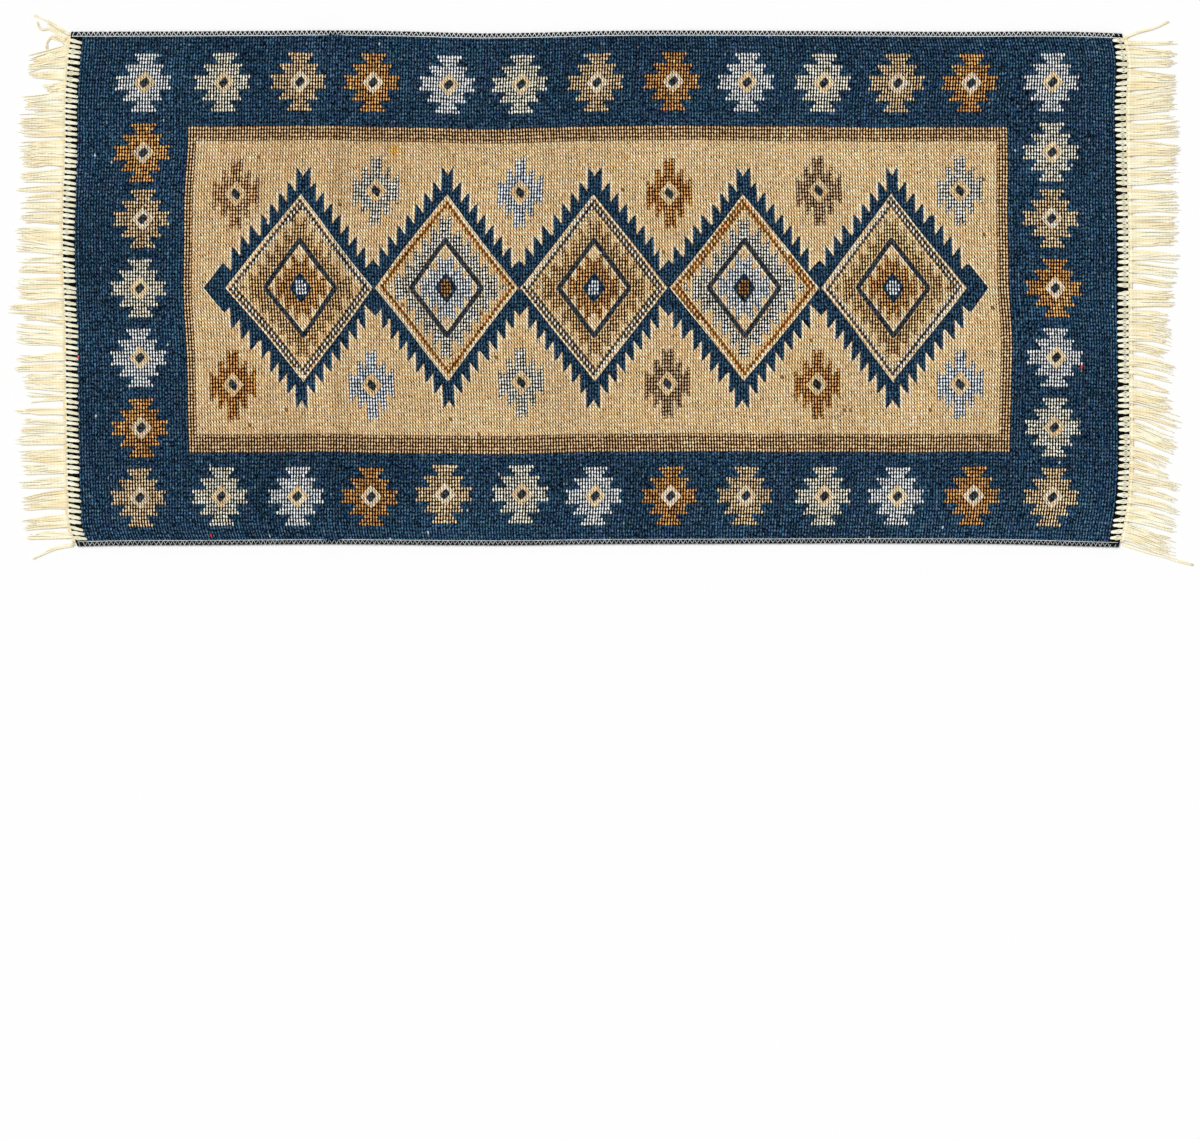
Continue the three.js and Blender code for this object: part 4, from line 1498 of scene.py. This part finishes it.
class Threads:
    """Many round threads, gathered as splines of one curve and made into one mesh."""

    def __init__(self, name: str, material: Material, finer: int = 1) -> None:
        self.name = name
        self.material = material
        self.finer = finer
        self.paths: list[tuple[Array, Array, float]] = []

    def add(self, route: Sequence, radius: object, tone: float) -> None:
        """Adds one thread.

        Args:
            route: its X, Y and Z in millimetres, each one number or one for each point.
            radius: its radius in millimetres, one number or one for each point.
            tone: how light it is, 0 to 1.
        """
        points = np.stack(np.broadcast_arrays(*route), axis=-1).astype(float)
        radii = np.broadcast_to(radius, (len(points),)).astype(float)
        apart = np.concatenate([[True], np.linalg.norm(np.diff(points, axis=0), axis=1) > 1e-3])
        self.paths.append((points[apart], radii[apart], tone))

    def build(self) -> Object:
        """Sweeps the threads and joins them.

        Returns:
            The finished object.
        """
        curve = bpy.data.curves.new(self.name + ".route", "CURVE")
        curve.dimensions = "3D"
        curve.bevel_depth = 1.0
        curve.bevel_resolution = self.finer
        for points, radii, _ in self.paths:
            spline = curve.splines.new("POLY")
            spline.points.add(len(points) - 1)
            rows = np.concatenate([points * MM, np.ones((len(points), 1))], axis=1)
            spline.points.foreach_set("co", rows.ravel())
            spline.points.foreach_set("radius", radii * MM)
            spline.use_smooth = True
        route = bpy.data.objects.new(self.name + ".route", curve)
        bpy.context.scene.collection.objects.link(route)
        graph = bpy.context.evaluated_depsgraph_get()
        mesh = bpy.data.meshes.new_from_object(route.evaluated_get(graph))
        bpy.data.objects.remove(route)
        bpy.data.curves.remove(curve)
        mesh.name = self.name
        self.close(mesh)
        self.mark(mesh)
        mesh.materials.clear()
        mesh.materials.append(self.material)
        return add_object(self.name, mesh)

    def close(self, mesh: Mesh) -> None:
        """Closes the threads' open ends."""
        bm = bmesh.new()
        bm.from_mesh(mesh)
        bmesh.ops.holes_fill(bm, edges=[e for e in bm.edges if e.is_boundary], sides=0)
        bm.to_mesh(mesh)
        bm.free()

    def mark(self, mesh: Mesh) -> None:
        """Writes each thread's tone, and a UV map that runs round and along it."""
        sides = 4 + 2 * self.finer
        counts = [len(points) * sides for points, _, _ in self.paths]
        if sum(counts) != len(mesh.vertices):
            raise RuntimeError(f"{self.name}: {sum(counts)} and {len(mesh.vertices)} vertices")
        tones = np.repeat([tone for _, _, tone in self.paths], counts)
        mesh.attributes.new("tone", "FLOAT", "POINT").data.foreach_set("value", tones)
        around = np.concatenate([np.tile(np.arange(sides), len(p)) for p, _, _ in self.paths])
        run = []
        for points, _, _ in self.paths:
            steps = np.linalg.norm(np.diff(points, axis=0), axis=1) * MM
            run.append(np.repeat(np.concatenate([[0.0], np.cumsum(steps)]), sides))
        along = np.concatenate(run)
        corners = corner_vertices(mesh)
        turn = around[corners].astype(float)
        starts = np.empty(len(mesh.polygons), dtype=np.int32)
        totals = np.empty(len(mesh.polygons), dtype=np.int32)
        mesh.polygons.foreach_get("loop_start", starts)
        mesh.polygons.foreach_get("loop_total", totals)
        quads = starts[totals == 4][:, None] + np.arange(4)
        ring = turn[quads]
        seam = (ring.max(axis=1) == sides - 1) & (ring.min(axis=1) == 0)
        ring[seam] = np.where(ring[seam] == 0, sides, ring[seam])
        turn[quads] = ring
        while mesh.uv_layers:
            mesh.uv_layers.remove(mesh.uv_layers[0])
        layer = mesh.uv_layers.new(name="Thread")
        layer.data.foreach_set("uv", np.stack([turn / sides, along[corners]], axis=-1).ravel())


# Sizes of the fringe, the headings and the stitches.
HEADING_HALF_MM = 299
STITCHED_HALF_MM = 297.0
STRAND_PITCH_MM = 1.12
STRAND_ROOTS_MM = (2.8, 2.4, 2.0)
STRAND_TIPS_MM = (1.5, 1.15, 0.85)
STRAY_STRANDS = 8
STITCH_RADIUS_MM = 0.66
STITCH_TOP_MM = 2.78


@dataclass(frozen=True)
class End:
    """One end of the rug, with its fringe and stitches.

    Attributes:
        side: -1 for the left end and 1 for the right end.
        line: the cloth's end.
        locks: the fringe's locks.
        strays: routes of strands that leave the corners.
        stitches: how many blanket stitches bind it.
        depth: how far the stitches reach in.
        lean: how far a stitch's inner end lies from its outer one, across the rug.
        spare: how much narrower than the pitch half a stitch is.
        point: how much narrower a stitch gets towards its inner end, 0 to 1.
        seed: the seed of its unevenness.
    """

    side: int
    line: EdgeLine
    locks: tuple[tuple[float, ...], ...]
    strays: tuple[tuple[tuple[float, float], ...], ...]
    stitches: int
    depth: float
    lean: float
    spare: float
    point: float
    seed: int

    @property
    def name(self) -> str:
        """The end's name."""
        return "left" if self.side < 0 else "right"

    def outer(self, y: Array) -> Array:
        """Gives X at the cloth's end."""
        return self.line.at(y)

    def fringe(self, material: Material) -> Object:
        """Makes the loose warp ends, clumped in their locks.

        Args:
            material: their finish.

        Returns:
            The finished object.
        """
        rng = np.random.default_rng(self.seed)
        threads = Threads(f"fringe_{self.name}_strands", material, 1)
        t = np.linspace(0, 1, 15)
        for root_far, root_near, tip_far, tip_near, reach in self.locks:
            count = max(6, int(round((root_far - root_near) / STRAND_PITCH_MM)))
            sway = rng.normal(0, 1.1)
            phase = rng.uniform(0, 6.28)
            for k in range(count):
                part = (k + 0.5 + rng.uniform(-0.35, 0.35)) / count
                root_y = root_far + (root_near - root_far) * part
                tip_y = tip_far + (tip_near - tip_far) * (0.02 + 0.96 * part)
                tip_y += rng.normal(0, 1.2)
                tip_x = self.side * (reach - abs(rng.normal(0, 6.0)) + rng.uniform(-1, 4))
                root_x = self.outer(root_y) + self.side * 0.3
                x = root_x + (tip_x - root_x) * t
                bow = sway * np.sin(t * 4.2 + phase) * t
                own = rng.normal(0, 0.8) * np.sin(t * rng.uniform(4, 9) + rng.uniform(0, 6.28)) * t
                y = root_y + (tip_y - root_y) * t**1.3 + bow + own
                layer = k % 3
                high = STRAND_ROOTS_MM[layer]
                low = STRAND_TIPS_MM[layer] + rng.uniform(-0.1, 0.2)
                past = np.abs(x - self.outer(root_y))
                z = low + (high - low) * (1 - smooth_steps(4.5, 11, past))
                radius = rng.uniform(0.72, 0.94) * (1 - 0.5 * t**4)
                radius[-1] = 0.16
                z = np.maximum(z, radius + 0.02)
                threads.add((x, y, z), radius, rng.uniform(0, 1))
        for route in self.strays:
            self.stray(threads, rng, route)
        return threads.build()

    def stray(self, threads: Threads, rng: np.random.Generator, route: Sequence) -> None:
        """Adds a small twisted tuft along one stray route."""
        places = np.asarray(route, dtype=float)
        at = np.linspace(0, 1, len(places))
        t = np.linspace(0, 1, 18)
        line = [read_curve(at, places[:, c], t) for c in (0, 1)]
        for _ in range(STRAY_STRANDS):
            shift = rng.normal(0, 1.0, 2)
            loose = 1.0 - 0.45 * t
            x = line[0] + shift[0] * loose + 0.5 * np.sin(t * 9 + rng.uniform(0, 6))
            y = line[1] + shift[1] * loose + 0.5 * np.sin(t * 8 + rng.uniform(0, 6))
            radius = 0.62 * (1 - 0.55 * t**2)
            z = 0.75 + rng.uniform(0, 0.8) + 0 * t
            threads.add((x, y, z), radius, rng.uniform(0, 1))

    def heading(self, material: Material) -> Object:
        """Makes the narrow pale band that holds the warp ends.

        Args:
            material: its finish.

        Returns:
            The finished object.
        """
        rng = np.random.default_rng(self.seed + 1)
        threads = Threads(f"heading_{self.name}", material, 1)
        y = np.linspace(HEADING_HALF_MM, -HEADING_HALF_MM, 300)
        for offset, radius, z in ((0.7, 1.0, 1.5), (2.4, 0.9, 1.4), (3.9, 0.8, 1.3)):
            x = self.outer(y) + self.side * offset
            swell = radius * (1 + 0.08 * np.sin(y * 1.9 + offset))
            threads.add((x, y, z), swell, 0.6)
        for offset, z in ((0.7, 1.9), (0.7, 0.9)):
            x = self.outer(y) + self.side * (offset + 0.35 * np.sin(y * 1.1))
            high = z + 0.12 * np.sin(y * 2.2)
            threads.add((x, y, high), 0.42, rng.uniform(0.4, 0.9))
        return threads.build()

    def blanket(self, material: Material) -> Object:
        """Makes the blanket stitches that bind the cloth's end on both faces.

        Args:
            material: their finish.

        Returns:
            The finished object.
        """
        rng = np.random.default_rng(self.seed + 2)
        threads = Threads(f"stitches_{self.name}", material, 1)
        turn = np.linspace(-0.5 * math.pi, 0.5 * math.pi, 7)
        pitch = 2 * STITCHED_HALF_MM / self.stitches
        for s in range(self.stitches):
            y0 = STITCHED_HALF_MM - (s + 0.5) * pitch + rng.normal(0, 0.35)
            for face in (1, -1):
                depth = self.depth * rng.uniform(0.9, 1.02)
                half = 0.5 * pitch - self.spare + rng.uniform(-0.2, 0.2)
                lean = self.lean + rng.normal(0, 0.8)
                swell = rng.uniform(0.25, 0.75)
                leg = np.linspace(0, depth - half, 7)
                tip = depth - half + half * np.cos(turn)
                inward = np.concatenate([leg, tip, leg[::-1]])
                side = np.concatenate([0 * leg - half, half * np.sin(turn), 0 * leg + half])
                taper = 0.8 + swell * np.exp(-(((inward - 5.5) / 2.0) ** 2)) + 0.1 * inward / depth
                taper = taper * (1 - self.point * smooth_steps(0.35 * depth, depth, inward))
                tone = rng.uniform(0.2, 1)
                for inner in (1.0, 0.3):
                    across = y0 + lean * inward / self.depth + side * taper * inner
                    reach = inward if inner == 1.0 else inward * 0.9
                    x = self.outer(across) - self.side * (reach - 1.2)
                    dip = smooth_steps(depth - 2.2, depth, inward)
                    top = STITCH_TOP_MM - 0.75 * dip + (0.0 if inner == 1.0 else 0.05)
                    z = top if face > 0 else CLOTH_TOP_MM - top
                    z = np.maximum(z, STITCH_RADIUS_MM)
                    threads.add((x, across, z), STITCH_RADIUS_MM, tone)
        return threads.build()


# Sizes of the overlock. The lattice's turns are steps along the edge, insets and heights.
CASING_ROUND = 0.3
CASING_NOSE_MM = 0.9
CASING_DEPTH_MM = 4.9
CASING_HALF_MM = 1.2
CASING_TAPER_MM = 0.35
EDGE_MIDDLE_MM = 1.55
LATTICE_PITCH_MM = 5.6
LATTICE_TURNS_MM = (
    (0.0, 5.3, 2.72), (1.3, 3.0, 2.9), (2.5, 0.7, 2.75), (2.8, -0.15, 1.55),
    (3.1, 0.7, 0.5), (4.3, 3.0, 0.42), (5.6, 5.3, 0.5), (6.9, 3.0, 0.42),
    (8.1, 0.7, 0.5), (8.4, -0.15, 1.55), (8.7, 0.7, 2.75), (9.9, 3.0, 2.9),
)
LOOP_WAVE = 2.243
LOOPER_RISE_MM = 0.75


class LongEdge:
    """One overlocked long edge: a dark casing under a lattice of fine thread."""

    def __init__(self, side: int, line: EdgeLine, seed: int) -> None:
        self.side = side
        self.line = line
        self.seed = seed
        self.name = "far" if side > 0 else "near"

    def span(self, count: int) -> Array:
        """Spreads places along the edge."""
        y = self.side * 303.0
        return np.linspace(LEFT.at(y) + 1.0, RIGHT.at(y) - 1.0, count)

    def casing(self, material: Material) -> Object:
        """Makes the casing that wraps the edge.

        Args:
            material: its finish.

        Returns:
            The finished object.
        """
        mesh = grid_mesh(f"overlock_{self.name}_casing", 420, 14)
        grid = (read_points(mesh)[:, :2] + 1) / 2
        x = np.interp(grid[:, 0], np.linspace(0, 1, 421), self.span(421))
        turn = (grid[:, 1] - 0.5) * 2
        past = np.clip((np.abs(turn) - CASING_ROUND) / (1 - CASING_ROUND), 0, 1)
        nose = np.abs(turn) < CASING_ROUND
        bend = turn / CASING_ROUND * math.pi / 2
        flat = CASING_NOSE_MM + CASING_DEPTH_MM * past
        inset = np.where(nose, CASING_NOSE_MM * (1 - np.cos(bend)), flat)
        flat = np.sign(turn) * (CASING_HALF_MM - CASING_TAPER_MM * past)
        half = np.where(nose, CASING_HALF_MM * np.sin(bend), flat)
        y = self.line.at(x) - self.side * inset
        z = EDGE_MIDDLE_MM + half + 0.05 * np.sin(x * 1.1)
        write_points(mesh, np.stack([x, y, z], axis=-1) * MM)
        if self.side < 0:
            mesh.flip_normals()
        mesh.shade_smooth()
        mesh.attributes.new("tone", "FLOAT", "POINT")
        layer = mesh.uv_layers.new(name="Thread")
        corners = corner_vertices(mesh)
        layer.data.foreach_set("uv", (grid * (0.2, 1.25))[corners].ravel())
        mesh.materials.append(material)
        return add_object(mesh.name, mesh)

    def lattice(self, material: Material) -> Object:
        """Makes the zigzag threads that cross both faces of the edge.

        Args:
            material: their finish.

        Returns:
            The finished object.
        """
        rng = np.random.default_rng(self.seed)
        threads = Threads(f"overlock_{self.name}_lattice", material, 0)
        ends = self.span(2)
        count = int((ends[1] - ends[0]) / (2 * LATTICE_PITCH_MM))
        for start in (0.0, LATTICE_PITCH_MM):
            x, inset, z = [], [], []
            for k in range(count):
                at = ends[0] + start + 2 * LATTICE_PITCH_MM * k
                for step, deep, high in LATTICE_TURNS_MM:
                    x.append(at + step + rng.normal(0, 0.18))
                    inset.append(deep + rng.normal(0, 0.12 if deep > 1 else 0.4))
                    z.append(high)
            x = np.clip(np.array(x), ends[0], ends[1])
            y = self.line.at(x) - self.side * np.array(inset)
            radius = 0.4 if self.side > 0 else 0.31
            threads.add((x, y, z), radius, 0.6)
        for high in (2.8, 0.58):
            x = np.linspace(ends[0], ends[1], 700)
            y = self.line.at(x) - self.side * (5.35 + 0.22 * np.sin(x * LOOP_WAVE))
            radius = 0.43 if self.side > 0 and high > 1 else 0.36
            threads.add((x, y, high + 0.1 * np.sin(x * 1.12)), radius, 0.9)
        return threads.build()

    def looper(self, material: Material) -> Object:
        """Makes the dark thread that runs round the outer edge in small loops.

        Args:
            material: its finish.

        Returns:
            The finished object.
        """
        threads = Threads(f"overlock_{self.name}_looper", material, 0)
        ends = self.span(2)
        x = np.linspace(ends[0], ends[1], 1600)
        for shift in (0.0, 1.5):
            ragged = 0.35 * np.sin(x * 0.83 + shift) * np.sin(x * 0.29)
            y = self.line.at(x) - self.side * (0.65 + ragged + 0.8 * np.sin(x * LOOP_WAVE + shift))
            z = EDGE_MIDDLE_MM + LOOPER_RISE_MM * np.cos(x * LOOP_WAVE + shift * 2.1)
            threads.add((x, y, z), 0.4, 0.5)
        return threads.build()


# Floor, lights and camera, in metres where they are lengths.
FLOOR_HALF = 8.0
FLOOR_WHITE = 0.93
SUN_ENERGY = 2.0
SUN_DEGREES = 35
SUN_FROM = (-0.62, 0.45, 1.0)
SUN_AT = (-2.0, 1.5, 3.0)
SKY_STRENGTH = 0.56
CAMERA_HIGH = 6.0
SENSOR_WIDTH = 36.0
PHOTO_WIDTH = 1.4172
PHOTO_MIDDLE_Y = -0.3313


class Studio:
    """Floor, light and camera of the photograph."""

    def __init__(self, across: float, middle_y: float) -> None:
        self.across = across
        self.middle_y = middle_y

    def build(self) -> None:
        """Adds the floor, the lights and the camera."""
        self.floor()
        self.lights()
        self.camera()

    def floor(self) -> None:
        """Adds the plain white floor."""
        mesh = grid_mesh("floor", 1, 1)
        points = read_points(mesh) * FLOOR_HALF
        points[:, 2] = 0.0
        write_points(mesh, points)
        n = Nodes("floor_white")
        n.shader.inputs["Base Color"].default_value = (FLOOR_WHITE, FLOOR_WHITE, FLOOR_WHITE, 1.0)
        n.shader.inputs["Roughness"].default_value = 0.9
        n.shader.inputs["Specular IOR Level"].default_value = 0.0
        mesh.materials.append(n.material)
        add_object("floor", mesh)

    def lights(self) -> None:
        """Adds one broad sun from the upper left and an even sky."""
        sun = bpy.data.lights.new("key", "SUN")
        sun.energy = SUN_ENERGY
        sun.angle = math.radians(SUN_DEGREES)
        key = bpy.data.objects.new("key", sun)
        key.rotation_euler = Vector(SUN_FROM).to_track_quat("Z", "Y").to_euler()
        key.location = SUN_AT
        bpy.context.scene.collection.objects.link(key)
        world = bpy.data.worlds.new("sky")
        world.use_nodes = True
        sky = world.node_tree.nodes["Background"]
        sky.inputs[0].default_value = (1.0, 1.0, 1.0, 1.0)
        sky.inputs[1].default_value = SKY_STRENGTH
        bpy.context.scene.world = world

    def camera(self) -> None:
        """Adds the camera, straight above the middle of the photographed area."""
        data = bpy.data.cameras.new("camera")
        data.sensor_width = SENSOR_WIDTH
        data.lens = SENSOR_WIDTH * CAMERA_HIGH / self.across
        data.clip_start = 0.1
        data.clip_end = 50.0
        seen = bpy.data.objects.new("camera", data)
        seen.location = (0.0, self.middle_y, CAMERA_HIGH)
        bpy.context.scene.collection.objects.link(seen)
        bpy.context.scene.camera = seen
        bpy.context.scene.view_settings.view_transform = "Standard"


def place(piece: Object, slot: str, *nodes: str) -> Object:
    """Ties a piece to the body, hides the nodes that it stands for and logs its triangles.

    Args:
        piece: the finished object.
        slot: a slot name, not used.
        nodes: the nodes that it replaces.

    Returns:
        The same object.
    """
    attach(piece, BODY)
    if nodes:
        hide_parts(*nodes)
    faces = sum(len(p.vertices) - 2 for p in piece.data.polygons)
    LOG.info("%s: %d triangles", piece.name, faces)
    return piece


def main() -> None:
    """Builds the rug and its studio."""
    logging.basicConfig(level=logging.INFO, format="%(message)s")
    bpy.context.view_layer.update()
    Studio(PHOTO_WIDTH, PHOTO_MIDDLE_Y).build()
    chart = Chart()
    for name, yarns, upper, seed in (
        ("rug_face", FRONT_YARNS, True, 11),
        ("rug_back", BACK_YARNS, False, 12),
    ):
        colours = YarnColours(chart, yarns, seed)
        weave = cloth_material(name + "_weave", yarns[Ink.GROUND], yarns[Ink.OUTLINE])
        face = ClothFace(name, colours, upper, weave).build()
        place(face, "cloth", "rug_cloth")
    cotton = thread_material("fringe_cotton", FRINGE_COTTON)
    golden = thread_material("heading_cotton", HEADING_COTTON)
    stitch = thread_material("stitch_cotton", STITCH_COTTON)
    for end in (
        End(-1, LEFT, LEFT_LOCKS_MM, LEFT_STRAYS_MM, 92, 15.2, -2.0, 1.75, 0.15, 21),
        End(1, RIGHT, RIGHT_LOCKS_MM, RIGHT_STRAYS_MM, 84, 14.2, -0.4, 1.6, 0.32, 31),
    ):
        node = f"fringe_{end.name}"
        place(end.fringe(cotton), "fringe", node)
        place(end.heading(golden), "fringe", node)
        place(end.blanket(stitch), "fringe", node)
    pale = {}
    for side, name, finish in ((1, "far_thread", FAR_THREAD), (-1, "near_thread", NEAR_THREAD)):
        pale[side] = thread_material(name, finish)
    dark = thread_material("overlock_casing", CASING_YARN)
    dull = thread_material("overlock_looper", OUTER_THREAD)
    for edge in (LongEdge(1, FAR, 41), LongEdge(-1, NEAR, 42)):
        node = f"overlock_{edge.name}"
        place(edge.casing(dark), "overlock", node)
        place(edge.lattice(pale[edge.side]), "overlock", node)
        place(edge.looper(dull), "overlock", node)


if __name__ == "__main__":
    main()
